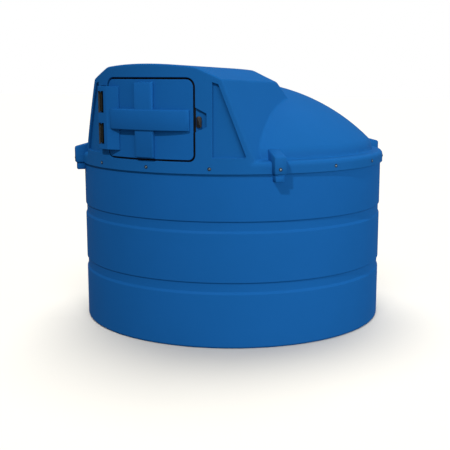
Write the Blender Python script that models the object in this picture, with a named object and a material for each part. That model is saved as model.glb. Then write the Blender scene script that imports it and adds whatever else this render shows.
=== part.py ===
"""Vertical bunded storage tank, moulded in blue polyethylene.

A round tub (the bund) carries a domed top cover.  A cabinet hood grows out of
the cover at the front, and a curved door closes it, hinged on its left side.

Frame: metres, +Z up, origin on the floor at the tank's axis.  The cabinet
faces -Y and +X is the right-hand side of someone who stands before it.
Angles run from the front (-Y) towards +X.
"""

from math import asin, cos, degrees, pi, radians, sin, sqrt

import bmesh
import bpy
from mathutils import Matrix, Vector

# Driving dimensions
BODY_RADIUS = 1.200
WALL = 0.010
GAP = 0.0003
CUT_REACH = 0.05
EMBED = 0.006
SEGMENTS = 96
ROUND_SIDES = 16
SCREW_SIDES = 12

# Bund: a plain tub with two grooves round it, its wall in two halves
BUND_HALVES = (("front", 0.0), ("back", 180.0))
RIM_TOP = 1.3257
GROOVE_DEPTH = 0.009
GROOVE_TOPS = (0.919, 0.482)
GROOVE_HEIGHT = 0.0875
GROOVE_CHAMFER = 0.018
GROOVE_STEP = 0.008
BASE_ROUND = 0.018

# Top cover: skirt, ledge and spherical dome
SKIRT_RADIUS = 1.2164
SKIRT_BOTTOM = 1.251
SKIRT_WALL = 0.012
LEDGE_Z = 1.338
LEDGE_WALL = 0.012
DOME_FOOT_RADIUS = 1.129
DOME_WALL_TOP = 1.380
DOME_SPHERE_RADIUS = 1.5716
DOME_SPHERE_Z = 0.306
DOME_SHOULDER_RADIUS = 1.112
DOME_SHOULDER_DROP = 0.005
DOME_SHOULDER_RISE = 0.002
RIM_ROUND = ((0.0, 0.024), (0.006, 0.010), (0.022, 0.0))

# Cabinet hood: leaning sides, chamfered shoulders and a crowned roof
HOOD_EDGE_X = 0.5470
HOOD_EDGE_Z = 1.8982
HOOD_SIDE_LEAN = 0.337
ROOF_EDGE_X = 0.375
ROOF_EDGE_Z = 1.9795
ROOF_CROWN_RADIUS = 3.36
ROOF_FALL = 0.027
ROOF_FALL_FROM_Y = -1.08
HOOD_BACK = (-0.305, 1.897)
HOOD_BACK_LEAN = 0.30
HOOD_FOOT = (-0.1376, 1.700)
HOOD_FOOT_LEAN = 0.85
HOOD_BOTTOM = 1.3145
HOOD_FRONT_WALL = 0.0364
BLOCK_HALF_DEPTH = 0.8
ABOVE_ALL = 2.3

# Doorway: the leaf stands in a rebate, with a seal behind it
DOORWAY_HALF = 0.3685
DOORWAY_BOTTOM = 1.337
DOORWAY_TOP = 1.9045
DOOR_SEAM = 0.017
TOP_CORNER = 0.060
BOTTOM_CORNER = 0.045
LEAF_THICKNESS = 0.012
REBATE_DEPTH = 0.0214
REBATE_LIP = 0.023
SEAL_THICKNESS = 0.004
CORNER_STEPS = 5
FRONT_SLAB = (1.30, 1.95, -22.5, 22.5)
PRISM_FROM_Y = -1.30
PRISM_DEPTH = 0.40

# Raised bands on the door
UPRIGHT_HALF_ANGLE = 3.5
UPRIGHT_PROUD = 0.031
UPRIGHT_Z = (1.351, 1.884)
CROSS_ANGLES = (-14.1, 16.0)
CROSS_Z = (1.542, 1.692)
CROSS_PROUD_MIDDLE = 0.043
CROSS_PROUD_END = 0.018
CROSS_BEVEL = 0.012

# Hinge: an upright pin in a block on the door's left side
PIN_ANGLE = -20.3
PIN_CIRCLE = 1.232
PIN_RADIUS = 0.006
PIN_BORE = 0.0066
PIN_Z = (1.400, 1.840)
KNUCKLE_RADIUS = 0.028
BLOCK_Z = (1.395, 1.845)
BLOCK_RIDGE = (-15.6, 1.262)
BLOCK_RIGHT = (-11.4, 1.225)
BLOCK_INNER_RADIUS = 1.2224
WINDOW_Z = ((1.430, 1.584), (1.656, 1.812))
WINDOW_LEFT = -0.014
WINDOW_RIGHT = 0.064
WINDOW_BACK = 0.004
POCKET_HALF = 0.036
POCKET_MARGIN = 0.006
BRACKET_BARREL = 0.0125
BRACKET_CLEARANCE = 0.010
BRACKET_PLATE = 0.005
BRACKET_FOOT = (0.016, 0.0345)

# Recesses in the hood's front, and the lock that sits in one of them
RECESS_DEPTH = 0.020
RECESS_CORNERS = ((23.35, 1.881), (25.6, 1.865), (34.75, 1.3595), (23.3, 1.3595))
LATCH_CORNERS = ((17.6, 1.710), (21.75, 1.667), (21.75, 1.571), (17.6, 1.534))
LOCK_OFFSET = -0.0128
LOCK_Z = 1.608
LOCK_WIDTH = 0.0364
LOCK_HEIGHT = 0.078
LOCK_DEPTH = 0.014
LOCK_BOTTOM_CORNER = 0.010
LOCK_TOP_CORNER = 0.016
LOCK_MARGIN = 0.001
KNOB_WIDTH = 0.014
KNOB_HEIGHT = 0.046
KNOB_DEPTH = 0.007
KNOB_CORNER = 0.0068

# Lugs that clamp the cover to the bund, and the screws round its skirt
LUG_ANGLES = (45.0, 135.0, -135.0, -45.0)
LUG_WIDTH = 0.086
LUG_RADIUS = 1.278
LUG_BOTTOM = 1.2516
LUG_TOP = 1.375
LUG_SLOPE = 0.26
LUG_BEVEL = 0.010
LOWER_LUG_WIDTH = 0.066
LOWER_LUG_RADIUS = 1.266
LOWER_LUG_BOTTOM = 1.195
SCREW_COUNT = 16
SCREW_Z = 1.287
SCREW_PROFILE = ((0.013, 0.0), (0.013, 0.003), (0.0105, 0.0065), (0.0065, 0.009))

# Cabinet floor: a plate between the hood's walls
FLOOR_THICKNESS = 0.008

COLOURS = {
    "blue_polyethylene": ((0.011, 0.107, 0.352), 0.42, 0.0),
    "black_rubber": ((0.010, 0.010, 0.012), 0.80, 0.0),
    "zinc_steel": ((0.450, 0.460, 0.480), 0.35, 1.0),
    "hinge_steel": ((0.090, 0.080, 0.055), 0.50, 1.0),
    "bronze_lock": ((0.160, 0.110, 0.075), 0.45, 1.0),
}


def material(name):
    """Return the named material, made once."""
    found = bpy.data.materials.get(name)
    if found:
        return found
    colour, roughness, metallic = COLOURS[name]
    made = bpy.data.materials.new(name)
    made.use_nodes = True
    shader = made.node_tree.nodes["Principled BSDF"]
    shader.inputs["Base Color"].default_value = (*colour, 1.0)
    shader.inputs["Roughness"].default_value = roughness
    shader.inputs["Metallic"].default_value = metallic
    return made


def around(radius, angle, z):
    """A point at a radius and an angle in degrees from the front."""
    turn = radians(angle)
    return Vector((radius * sin(turn), -radius * cos(turn), z))


def angle_at(x, radius):
    """The angle in degrees of a point at side distance x on a radius."""
    return degrees(asin(x / radius))


def add_object(name, mesh_builder, slot=None, guide=False):
    """Turn a bmesh into a named object, shown or kept as a guide."""
    bmesh.ops.recalc_face_normals(mesh_builder, faces=mesh_builder.faces)
    mesh = bpy.data.meshes.new(name)
    mesh_builder.to_mesh(mesh)
    mesh_builder.free()
    piece = bpy.data.objects.new(name, mesh)
    bpy.context.scene.collection.objects.link(piece)
    if slot:
        mesh.materials.append(material(slot))
    mesh.shade_smooth()
    mesh.set_sharp_from_angle(angle=radians(30.0))
    if guide:
        piece.hide_render = True
        piece.display_type = "WIRE"
    return piece


def combine(piece, tool, operation):
    """Cut, join or keep the common part of two objects."""
    modifier = piece.modifiers.new(tool.name, "BOOLEAN")
    modifier.operation = operation
    modifier.solver = "EXACT"
    modifier.object = tool


def turned(profile, segments=SEGMENTS, closed=False):
    """Turn a list of (radius, z) points about the Z axis."""
    work = bmesh.new()
    rings = []
    for radius, z in profile:
        if radius < 1e-6:
            rings.append([work.verts.new((0.0, 0.0, z))])
            continue
        steps = [360.0 * step / segments for step in range(segments)]
        rings.append([work.verts.new(around(radius, step, z)) for step in steps])
    pairs = list(zip(rings, rings[1:]))
    if closed:
        pairs.append((rings[-1], rings[0]))
    for upper, lower in pairs:
        for step in range(segments):
            following = (step + 1) % segments
            corners = [upper[step % len(upper)], upper[following % len(upper)]]
            corners += [lower[following % len(lower)], lower[step % len(lower)]]
            unique = list(dict.fromkeys(corners))
            if len(unique) > 2:
                work.faces.new(unique)
    return work


def extruded(outline, offset):
    """Extrude a closed outline of 3D points along an offset."""
    work = bmesh.new()
    start = [work.verts.new(point) for point in outline]
    end = [work.verts.new(point + offset) for point in outline]
    work.faces.new(start)
    work.faces.new(list(reversed(end)))
    for index, vertex in enumerate(start):
        following = (index + 1) % len(start)
        work.faces.new((vertex, start[following], end[following], end[index]))
    return work


def stacked(sections):
    """Join a row of equal sections into one closed solid."""
    work = bmesh.new()
    rows = [[work.verts.new(point) for point in section] for section in sections]
    count = len(rows[0])
    work.faces.new(rows[0])
    work.faces.new(list(reversed(rows[-1])))
    for first, second in zip(rows, rows[1:]):
        for index in range(count):
            following = (index + 1) % count
            corners = (first[index], first[following], second[following], second[index])
            work.faces.new(corners)
    return work


def curved_slab(inner, outer, low, high, first, last):
    """A part of a round wall between two angles, faceted like the tank."""
    step = 360.0 / SEGMENTS
    start = int(first // step) * step
    count = int(round((last - start) / step)) + 1
    sections = []
    for index in range(count + 1):
        angle = start + index * step
        corners = ((inner, low), (outer, low), (outer, high), (inner, high))
        sections.append([around(radius, angle, z) for radius, z in corners])
    return stacked(sections)


def rounded_panel(half, bottom, top, bottom_corner, top_corner):
    """An upright panel outline with round corners, as (x, z) pairs."""
    corners = (
        (half - bottom_corner, bottom + bottom_corner, bottom_corner, -90.0),
        (half - top_corner, top - top_corner, top_corner, 0.0),
        (top_corner - half, top - top_corner, top_corner, 90.0),
        (bottom_corner - half, bottom + bottom_corner, bottom_corner, 180.0),
    )
    outline = []
    for x, z, radius, start in corners:
        for step in range(CORNER_STEPS + 1):
            turn = radians(start + 90.0 * step / CORNER_STEPS)
            outline.append((x + radius * cos(turn), z + radius * sin(turn)))
    return outline


def doorway_prism(name, grow):
    """The doorway's outline, grown by a margin, run through the hood's front."""
    outline = rounded_panel(
        DOORWAY_HALF + grow,
        DOORWAY_BOTTOM - grow,
        DOORWAY_TOP + grow,
        BOTTOM_CORNER + grow,
        TOP_CORNER + grow,
    )
    points = [Vector((x, PRISM_FROM_Y, z)) for x, z in outline]
    return add_object(name, extruded(points, Vector((0.0, PRISM_DEPTH, 0.0))), guide=True)


def wall_profile(inset):
    """The tub's wall from its rim down to the foot, inset by a thickness."""
    outer = BODY_RADIUS - inset
    groove = outer - GROOVE_DEPTH
    points = [(outer, RIM_TOP)]
    for top in GROOVE_TOPS:
        low = top - GROOVE_HEIGHT
        points.append((outer, top))
        points.append((groove, top - GROOVE_STEP))
        points.append((groove, low + GROOVE_CHAMFER))
        points.append((outer, low))
    return points


def foot_arc(high, low, count=2):
    """Points down the tub's rounded foot between two heights."""
    first = asin(1.0 - high / BASE_ROUND)
    last = asin(1.0 - low / BASE_ROUND)
    points = []
    for step in range(count + 1):
        turn = first + (last - first) * step / count
        radius = BODY_RADIUS - BASE_ROUND + BASE_ROUND * cos(turn)
        points.append((radius, BASE_ROUND - BASE_ROUND * sin(turn)))
    return points


def lug_block(name, angle, width, section):
    """A block with the given (radius, z) section, set at an angle."""
    turn = Matrix.Rotation(radians(angle), 4, "Z")
    outline = [turn @ Vector((-width / 2, -radius, z)) for radius, z in section]
    offset = turn @ Vector((width, 0.0, 0.0))
    return add_object(name, extruded(outline, offset), guide=True)


def lower_lug(angle):
    """One lower lug, set into the tub's wall."""
    top = SKIRT_BOTTOM - GAP
    inner = BODY_RADIUS - WALL / 2
    section = ((inner, LOWER_LUG_BOTTOM), (LOWER_LUG_RADIUS, LOWER_LUG_BOTTOM),
               (LOWER_LUG_RADIUS, top), (inner, top))
    return lug_block(f"lower_lug_{angle:.0f}", angle, LOWER_LUG_WIDTH, section)


def build_bund_wall():
    """The tub's round wall in two halves, with two grooves and the lower lugs."""
    foot = foot_arc(BASE_ROUND, WALL + GAP)
    inner = wall_profile(WALL) + [(BODY_RADIUS - WALL, WALL + GAP)]
    profile = wall_profile(0.0) + foot + inner[::-1]
    quarter = SEGMENTS // 4
    spare = degrees(GAP / 2 / BODY_RADIUS)
    for label, middle in BUND_HALVES:
        sections = []
        for step in range(-quarter, quarter + 1):
            angle = 360.0 * step / SEGMENTS
            angle = middle + max(spare - 90.0, min(90.0 - spare, angle))
            sections.append([around(radius, angle, z) for radius, z in profile])
        wall = add_object(f"bund_wall_{label}", stacked(sections), "blue_polyethylene")
        for lug_angle in LUG_ANGLES:
            if cos(radians(lug_angle - middle)) > 0.0:
                combine(wall, lower_lug(lug_angle), "UNION")


def build_bund_floor():
    """The tub's flat floor, with the lower part of the rounded foot."""
    points = [(0.0, WALL)] + foot_arc(WALL, 0.0) + [(0.0, 0.0)]
    add_object("bund_floor", turned(points), "blue_polyethylene")


def dome_points(inset, count=9):
    """The dome's shoulder and cap, from the foot up to the axis."""
    radius = DOME_SPHERE_RADIUS - inset
    shoulder = DOME_SHOULDER_RADIUS - inset
    foot = DOME_FOOT_RADIUS - inset
    tilt = asin(shoulder / radius)
    points = [(foot, DOME_WALL_TOP)]
    shoulder_z = DOME_SPHERE_Z + radius * cos(tilt)
    middle_z = (DOME_WALL_TOP + shoulder_z) / 2
    points.append((foot - DOME_SHOULDER_DROP, middle_z + DOME_SHOULDER_RISE))
    for step in range(count):
        turn = tilt * (1.0 - step / count)
        points.append((radius * sin(turn), DOME_SPHERE_Z + radius * cos(turn)))
    return points + [(0.0, DOME_SPHERE_Z + radius)]


def rim_outer_profile():
    """The outside of the skirt and the ledge, closed across the middle."""
    points = [(0.0, SKIRT_BOTTOM), (SKIRT_RADIUS, SKIRT_BOTTOM)]
    points += [(SKIRT_RADIUS - inward, LEDGE_Z - drop) for inward, drop in RIM_ROUND]
    return points + [(0.0, LEDGE_Z)]


def rim_inner_profile():
    """What is hollow in the skirt and in the middle of the ledge."""
    inner = SKIRT_RADIUS - SKIRT_WALL
    ceiling = LEDGE_Z - LEDGE_WALL
    below = SKIRT_BOTTOM - CUT_REACH
    above = LEDGE_Z + CUT_REACH
    edge = DOME_FOOT_RADIUS - WALL
    return [(0.0, below), (inner, below), (inner, ceiling), (edge, ceiling), (edge, above), (0.0, above)]


def roof_height(x):
    """The crowned roof's height at a side distance, before it falls back."""
    crown = ROOF_CROWN_RADIUS
    return ROOF_EDGE_Z + sqrt(crown ** 2 - x ** 2) - sqrt(crown ** 2 - ROOF_EDGE_X ** 2)


def hood_planes(inset):
    """The hood's flat faces in front of its back as (point, outward normal), moved in by inset."""
    planes = []
    for side in (-1.0, 1.0):
        lean = Vector((side, 0.0, HOOD_SIDE_LEAN)).normalized()
        planes.append((Vector((side * HOOD_EDGE_X, 0.0, HOOD_EDGE_Z)), lean))
    stations = [HOOD_EDGE_X, ROOF_EDGE_X, ROOF_EDGE_X / 2, 0.0]
    heights = [HOOD_EDGE_Z] + [roof_height(x) for x in stations[1:]]
    for side in (-1.0, 1.0):
        for index in range(len(stations) - 1):
            run = stations[index] - stations[index + 1]
            rise = heights[index + 1] - heights[index]
            normal = Vector((side * rise, -ROOF_FALL * -run, run)).normalized()
            point = Vector((side * stations[index], ROOF_FALL_FROM_Y, heights[index]))
            planes.append((point, normal))
    return [(point - normal * inset, normal) for point, normal in planes]


def cut_from_block(planes, low):
    """Cut a convex solid out of a large block with a list of planes."""
    work = bmesh.new()
    bmesh.ops.create_cube(work, size=2.0)
    high = ABOVE_ALL - CUT_REACH
    for vertex in work.verts:
        x, y, z = vertex.co
        vertex.co = (x * BODY_RADIUS, (y - 1.0) * BLOCK_HALF_DEPTH, low if z < 0 else high)
    for point, normal in planes:
        everything = work.verts[:] + work.edges[:] + work.faces[:]
        cut = bmesh.ops.bisect_plane(
            work, geom=everything, plane_co=point, plane_no=normal, clear_outer=True)
        edges = [item for item in cut["geom_cut"] if isinstance(item, bmesh.types.BMEdge)]
        bmesh.ops.contextual_create(work, geom=edges)
    return work


def back_profile(inset):
    """The hood's back as (y, z) corners: its upper fall, its foot, and a wall below the dome."""
    leans = (HOOD_BACK_LEAN, HOOD_FOOT_LEAN, 0.0)
    moves = [inset * sqrt(1.0 + lean ** 2) for lean in leans]
    corners = []
    for index, (y, z) in enumerate((HOOD_BACK, HOOD_FOOT)):
        rise = (moves[index] - moves[index + 1]) / (leans[index + 1] - leans[index])
        corners.append((y - leans[index] * rise - moves[index], z + rise))
    top = ABOVE_ALL + CUT_REACH
    start = (corners[0][0] - HOOD_BACK_LEAN * (top - corners[0][1]), top)
    return [start] + corners + [(corners[1][0], HOOD_BOTTOM - 2 * CUT_REACH)]


def hood_block(name, inset, low, high=ABOVE_ALL, slot=None):
    """The hood's form before its front is turned."""
    planes = hood_planes(inset) + [(Vector((0.0, 0.0, high)), Vector((0.0, 0.0, 1.0)))]
    block = add_object(name, cut_from_block(planes, low), slot, guide=not slot)
    profile = back_profile(inset)
    profile += [(BODY_RADIUS, profile[-1][1]), (BODY_RADIUS, profile[0][1])]
    sections = [[(x, y, z) for y, z in profile] for x in (BODY_RADIUS, -BODY_RADIUS)]
    combine(block, add_object(name + "_behind", stacked(sections), guide=True), "DIFFERENCE")
    return block


def hood_solid(name, inset, front_radius, low, high=ABOVE_ALL, slot=None):
    """The hood's form between two heights, its front turned to a radius."""
    hood = hood_block(name, inset, low, high, slot)
    bottom = low - CUT_REACH
    top = ABOVE_ALL + CUT_REACH
    front = [(0.0, bottom), (front_radius, bottom), (front_radius, top), (0.0, top)]
    cylinder = add_object(name + "_front", turned(front), guide=True)
    combine(hood, cylinder, "INTERSECT")
    return hood


def front_prism(name, corners, depth, side=1.0):
    """A recess cut straight into the hood's front from (angle, z) corners."""
    bottom = SKIRT_RADIUS - depth
    sections = []
    for radius in (bottom, SKIRT_RADIUS + CUT_REACH):
        row = [around(radius, side * angle, z) for angle, z in corners]
        sections.append(row if side > 0 else row[::-1])
    return add_object(name, stacked(sections), guide=True)


def hinge_frame():
    """The pin's place: across the front (t), outwards (n), and up."""
    turn = radians(PIN_ANGLE)
    across = Vector((cos(turn), sin(turn), 0.0))
    outward = Vector((sin(turn), -cos(turn), 0.0))
    return around(PIN_CIRCLE, PIN_ANGLE, 0.0), across, outward


def hinge_box(name, t_range, n_range, z_range, guide=True, slot=None):
    """A box set square to the pin, by distances across, outwards and up."""
    pin, across, outward = hinge_frame()
    places = ((t_range[0], n_range[0]), (t_range[1], n_range[0]),
              (t_range[1], n_range[1]), (t_range[0], n_range[1]))
    outline = [pin + across * t + outward * n + Vector((0, 0, z_range[0])) for t, n in places]
    height = Vector((0.0, 0.0, z_range[1] - z_range[0]))
    return add_object(name, extruded(outline, height), slot, guide)


def pin_cylinder(name, radius, z_range, sides, guide=True, slot=None):
    """A cylinder on the hinge's axis."""
    pin = hinge_frame()[0]
    outline = []
    for step in range(sides):
        turn = 2 * pi * step / sides
        outline.append(pin + Vector((radius * cos(turn), radius * sin(turn), z_range[0])))
    height = Vector((0.0, 0.0, z_range[1] - z_range[0]))
    return add_object(name, extruded(outline, height), slot, guide)


def upper_lug(angle):
    """One upper lug, from the dome's foot out over the skirt."""
    inner = DOME_FOOT_RADIUS + GAP
    front_top = LUG_TOP - LUG_BEVEL
    inner_top = LUG_TOP + LUG_SLOPE * (LUG_RADIUS - LUG_BEVEL - inner)
    section = ((inner, LUG_BOTTOM), (LUG_RADIUS, LUG_BOTTOM), (LUG_RADIUS, front_top),
               (LUG_RADIUS - LUG_BEVEL, LUG_TOP), (inner, inner_top))
    return lug_block(f"upper_lug_{angle:.0f}", angle, LUG_WIDTH, section)


def build_rim(rebate):
    """The cover's skirt and ledge, flush with the hood in front, and its lugs."""
    rim = add_object("cover_rim", turned(rim_outer_profile()), "blue_polyethylene")
    front = hood_solid("rim_front", 0.0, SKIRT_RADIUS, HOOD_BOTTOM, LEDGE_Z - GAP)
    combine(rim, front, "UNION")
    for angle in LUG_ANGLES:
        combine(rim, upper_lug(angle), "UNION")
    combine(rim, add_object("rim_hollow", turned(rim_inner_profile()), guide=True), "DIFFERENCE")
    combine(rim, rebate, "DIFFERENCE")


def build_dome():
    """The domed shell, cut out where the hood stands in it."""
    foot = LEDGE_Z + GAP
    outer = [(DOME_FOOT_RADIUS, foot)] + dome_points(0.0)
    inner = [(DOME_FOOT_RADIUS - WALL, foot)] + dome_points(WALL)
    dome = add_object("cover_dome", turned(outer + inner[::-1], closed=True), "blue_polyethylene")
    combine(dome, hood_block("hood_place", -GAP, HOOD_BOTTOM), "DIFFERENCE")


def build_hood(rebate):
    """The hood's walls and roof, with its doorway, recesses and pockets."""
    foot = LEDGE_Z + GAP
    hood = hood_solid("cabinet_hood", 0.0, SKIRT_RADIUS, foot, slot="blue_polyethylene")
    inside = SKIRT_RADIUS - HOOD_FRONT_WALL
    combine(hood, hood_solid("hood_hollow", WALL, inside, HOOD_BOTTOM), "DIFFERENCE")
    combine(hood, rebate, "DIFFERENCE")
    combine(hood, doorway_prism("doorway_through", DOOR_SEAM / 2 - REBATE_LIP), "DIFFERENCE")
    for side, label in ((1.0, "right"), (-1.0, "left")):
        recess = front_prism(f"recess_{label}", RECESS_CORNERS, RECESS_DEPTH, side)
        combine(hood, recess, "DIFFERENCE")
    combine(hood, front_prism("latch_pocket", LATCH_CORNERS, RECESS_DEPTH), "DIFFERENCE")
    pocket_z = (BLOCK_Z[0] - POCKET_MARGIN, BLOCK_Z[1] + POCKET_MARGIN)
    sides = (-POCKET_HALF, POCKET_HALF)
    pocket = hinge_box("hinge_pocket", sides, (-POCKET_HALF, CUT_REACH), pocket_z)
    combine(hood, pocket, "DIFFERENCE")


def build_cabinet_floor():
    """The flat plate between the hood's walls."""
    low = LEDGE_Z + GAP
    front = SKIRT_RADIUS - HOOD_FRONT_WALL - GAP
    hood_solid("cabinet_floor", WALL + GAP, front, low, low + FLOOR_THICKNESS, "blue_polyethylene")


def doorway_rebate():
    """The wide outer part of the doorway, in which the leaf and seal stand."""
    rebate = doorway_prism("doorway_rebate", DOOR_SEAM / 2)
    floor = SKIRT_RADIUS - REBATE_DEPTH
    slab = curved_slab(floor, SKIRT_RADIUS + CUT_REACH, *FRONT_SLAB)
    combine(rebate, add_object("rebate_wall", slab, guide=True), "INTERSECT")
    return rebate


def build_seal():
    """A flat rubber ring on the rebate's floor, behind the leaf."""
    floor = SKIRT_RADIUS - REBATE_DEPTH + GAP
    slab = curved_slab(floor, floor + SEAL_THICKNESS, *FRONT_SLAB)
    seal = add_object("door_seal", slab, "black_rubber")
    combine(seal, doorway_prism("seal_outline", DOOR_SEAM / 2 - 0.002), "INTERSECT")
    combine(seal, doorway_prism("seal_opening", DOOR_SEAM / 2 - REBATE_LIP + 0.001), "DIFFERENCE")
    room = 2 * LOCK_MARGIN
    corners = (LOCK_BOTTOM_CORNER, LOCK_TOP_CORNER)
    notch = upright_plate(LOCK_WIDTH + room, LOCK_HEIGHT + room, corners, (-CUT_REACH, CUT_REACH))
    combine(seal, add_object("seal_notch", notch, guide=True), "DIFFERENCE")


def cross_band():
    """The band across the door, proudest in the middle."""
    first, last = CROSS_ANGLES
    count = 8
    sections = []
    for step in range(count + 1):
        angle = first + (last - first) * step / count
        share = max(angle, 0.0) / last
        proud = CROSS_PROUD_MIDDLE + (CROSS_PROUD_END - CROSS_PROUD_MIDDLE) * share ** 2
        outer = SKIRT_RADIUS + proud
        corners = ((SKIRT_RADIUS - EMBED, CROSS_Z[0]), (outer, CROSS_Z[0] + CROSS_BEVEL / 3),
                   (outer, CROSS_Z[1] - CROSS_BEVEL), (outer - CROSS_BEVEL, CROSS_Z[1]),
                   (SKIRT_RADIUS - EMBED, CROSS_Z[1]))
        sections.append([around(radius, angle, z) for radius, z in corners])
    return add_object("cross_band", stacked(sections), guide=True)


def upright_band():
    """The band up the middle of the door."""
    sections = []
    for step in range(3):
        angle = UPRIGHT_HALF_ANGLE * (step - 1)
        outer = SKIRT_RADIUS + UPRIGHT_PROUD
        corners = ((SKIRT_RADIUS - EMBED, UPRIGHT_Z[0]), (outer, UPRIGHT_Z[0]),
                   (outer, UPRIGHT_Z[1]), (SKIRT_RADIUS - EMBED, UPRIGHT_Z[1]))
        sections.append([around(radius, angle, z) for radius, z in corners])
    return add_object("upright_band", stacked(sections), guide=True)


def hinge_block():
    """The block that carries the pin, in plan: leaf, ridge and round knuckle."""
    pin, across, outward = hinge_frame()
    inside = SKIRT_RADIUS - EMBED
    edge = angle_at(-(DOORWAY_HALF - DOOR_SEAM / 2), SKIRT_RADIUS) + 0.1
    outline = [around(inside, BLOCK_RIGHT[0], 0.0), around(BLOCK_RIGHT[1], BLOCK_RIGHT[0], 0.0)]
    outline.append(around(BLOCK_RIDGE[1], BLOCK_RIDGE[0], 0.0))
    drop = PIN_CIRCLE - BLOCK_INNER_RADIUS
    stop = 360.0 - degrees(asin(drop / KNUCKLE_RADIUS))
    count = 12
    for step in range(count + 1):
        turn = radians(90.0 + (stop - 90.0) * step / count)
        outline.append(pin + (across * cos(turn) + outward * sin(turn)) * KNUCKLE_RADIUS)
    outline.append(around(BLOCK_INNER_RADIUS, edge, 0.0))
    outline.append(around(inside, edge, 0.0))
    points = [point + Vector((0.0, 0.0, BLOCK_Z[0])) for point in outline]
    height = Vector((0.0, 0.0, BLOCK_Z[1] - BLOCK_Z[0]))
    return add_object("hinge_block", extruded(points, height), guide=True)


def build_door():
    """The curved leaf with its bands and hinge block, hung on the pin."""
    slab = curved_slab(SKIRT_RADIUS - LEAF_THICKNESS, SKIRT_RADIUS, *FRONT_SLAB)
    door = add_object("cabinet_door", slab, "blue_polyethylene")
    combine(door, doorway_prism("leaf_outline", -DOOR_SEAM / 2), "INTERSECT")
    for band in (upright_band(), cross_band(), hinge_block()):
        combine(door, band, "UNION")
    bore_z = (BLOCK_Z[0] - CUT_REACH, BLOCK_Z[1] + CUT_REACH)
    combine(door, pin_cylinder("pin_bore", PIN_BORE, bore_z, 2 * ROUND_SIDES), "DIFFERENCE")
    front = ((WINDOW_LEFT, WINDOW_RIGHT), (-CUT_REACH, CUT_REACH))
    behind = ((-CUT_REACH, WINDOW_RIGHT), (-CUT_REACH, WINDOW_BACK))
    for index, z_range in enumerate(WINDOW_Z, 1):
        for label, (across, outward) in (("front", front), ("behind", behind)):
            window = hinge_box(f"window_{label}_{index}", across, outward, z_range)
            combine(door, window, "DIFFERENCE")
    place_on_pin(door)


def place_on_pin(door):
    """Move the door's origin to its hinge axis without moving its shape."""
    pin = hinge_frame()[0]
    door.data.transform(Matrix.Translation(-pin))
    door.location = pin


def build_hinge():
    """The pin, and the two brackets that hold it in the door's windows."""
    pin_cylinder("hinge_pin", PIN_RADIUS, PIN_Z, ROUND_SIDES, False, "zinc_steel")
    for label, z_range in zip(("lower", "upper"), WINDOW_Z):
        heights = (z_range[0] + BRACKET_CLEARANCE, z_range[1] - BRACKET_CLEARANCE)
        bracket = pin_cylinder(
            f"hinge_bracket_{label}", BRACKET_BARREL, heights, ROUND_SIDES, False, "hinge_steel")
        arm = bracket_arm(f"bracket_arm_{label}", heights)
        combine(bracket, arm, "UNION")
        bore_z = (heights[0] - CUT_REACH, heights[1] + CUT_REACH)
        bore = pin_cylinder(f"bracket_bore_{label}", PIN_RADIUS + 2 * GAP, bore_z, ROUND_SIDES)
        combine(bracket, bore, "DIFFERENCE")


def bracket_arm(name, heights):
    """The arm from the barrel to a foot on the pocket's floor."""
    pin, across, outward = hinge_frame()
    floor = -POCKET_HALF + GAP
    plate = BRACKET_PLATE
    low, high = BRACKET_FOOT
    reach = 0.75 * PIN_RADIUS
    arm = (reach - plate, -reach), (low, floor + plate)
    foot = (low, floor), (high, floor), (high, floor + plate)
    back = (low + 2.0 * plate, floor + plate), (reach + plate / 2, -reach / 2)
    places = arm + foot + back
    outline = [pin + across * t + outward * n + Vector((0, 0, heights[0])) for t, n in places]
    height = Vector((0.0, 0.0, heights[1] - heights[0]))
    return add_object(name, extruded(outline, height), guide=True)


def on_pocket_floor(x, out, z):
    """A point in the latch pocket: across, out from its flat floor, and up."""
    middle = (LATCH_CORNERS[0][0] + LATCH_CORNERS[1][0]) / 2
    half = radians(LATCH_CORNERS[1][0] - middle)
    floor = (SKIRT_RADIUS - RECESS_DEPTH) * cos(half) + GAP
    return Matrix.Rotation(radians(middle), 4, "Z") @ Vector((x, -floor - out, z))


def upright_plate(width, height, corners, outs):
    """A rounded plate upright on the lock's middle, between two distances out."""
    shape = rounded_panel(width / 2, LOCK_Z - height / 2, LOCK_Z + height / 2, *corners)
    rows = [[on_pocket_floor(LOCK_OFFSET + x, out, z) for x, z in shape] for out in outs]
    return stacked(rows)


def build_lock():
    """The lock body in the latch pocket, and the upright knob that turns it."""
    corners = (LOCK_BOTTOM_CORNER, LOCK_TOP_CORNER)
    body = upright_plate(LOCK_WIDTH, LOCK_HEIGHT, corners, (0.0, LOCK_DEPTH))
    add_object("lock_body", body, "bronze_lock")
    outs = (LOCK_DEPTH + GAP, LOCK_DEPTH + GAP + KNOB_DEPTH)
    knob = upright_plate(KNOB_WIDTH, KNOB_HEIGHT, (KNOB_CORNER, KNOB_CORNER), outs)
    add_object("lock_knob", knob, "bronze_lock")


def build_screws():
    """Low round heads on washers, round the skirt and on the lugs."""
    for index in range(SCREW_COUNT):
        angle = 360.0 * index / SCREW_COUNT
        on_lug = any(abs((angle - lug + 180.0) % 360.0 - 180.0) < 1.0 for lug in LUG_ANGLES)
        kind = "lug_screw" if on_lug else "rim_screw"
        radius = LUG_RADIUS if on_lug else SKIRT_RADIUS
        face_turn = Matrix.Rotation(radians(angle), 4, "Z")
        base = radius + GAP
        sections = []
        for size, out in SCREW_PROFILE:
            ring = []
            for step in range(SCREW_SIDES):
                turn = 2 * pi * step / SCREW_SIDES
                place = Vector((size * cos(turn), -(base + out), SCREW_Z + size * sin(turn)))
                ring.append(face_turn @ place)
            sections.append(ring)
        add_object(f"{kind}_{index + 1:02d}", stacked(sections), "zinc_steel")


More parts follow.
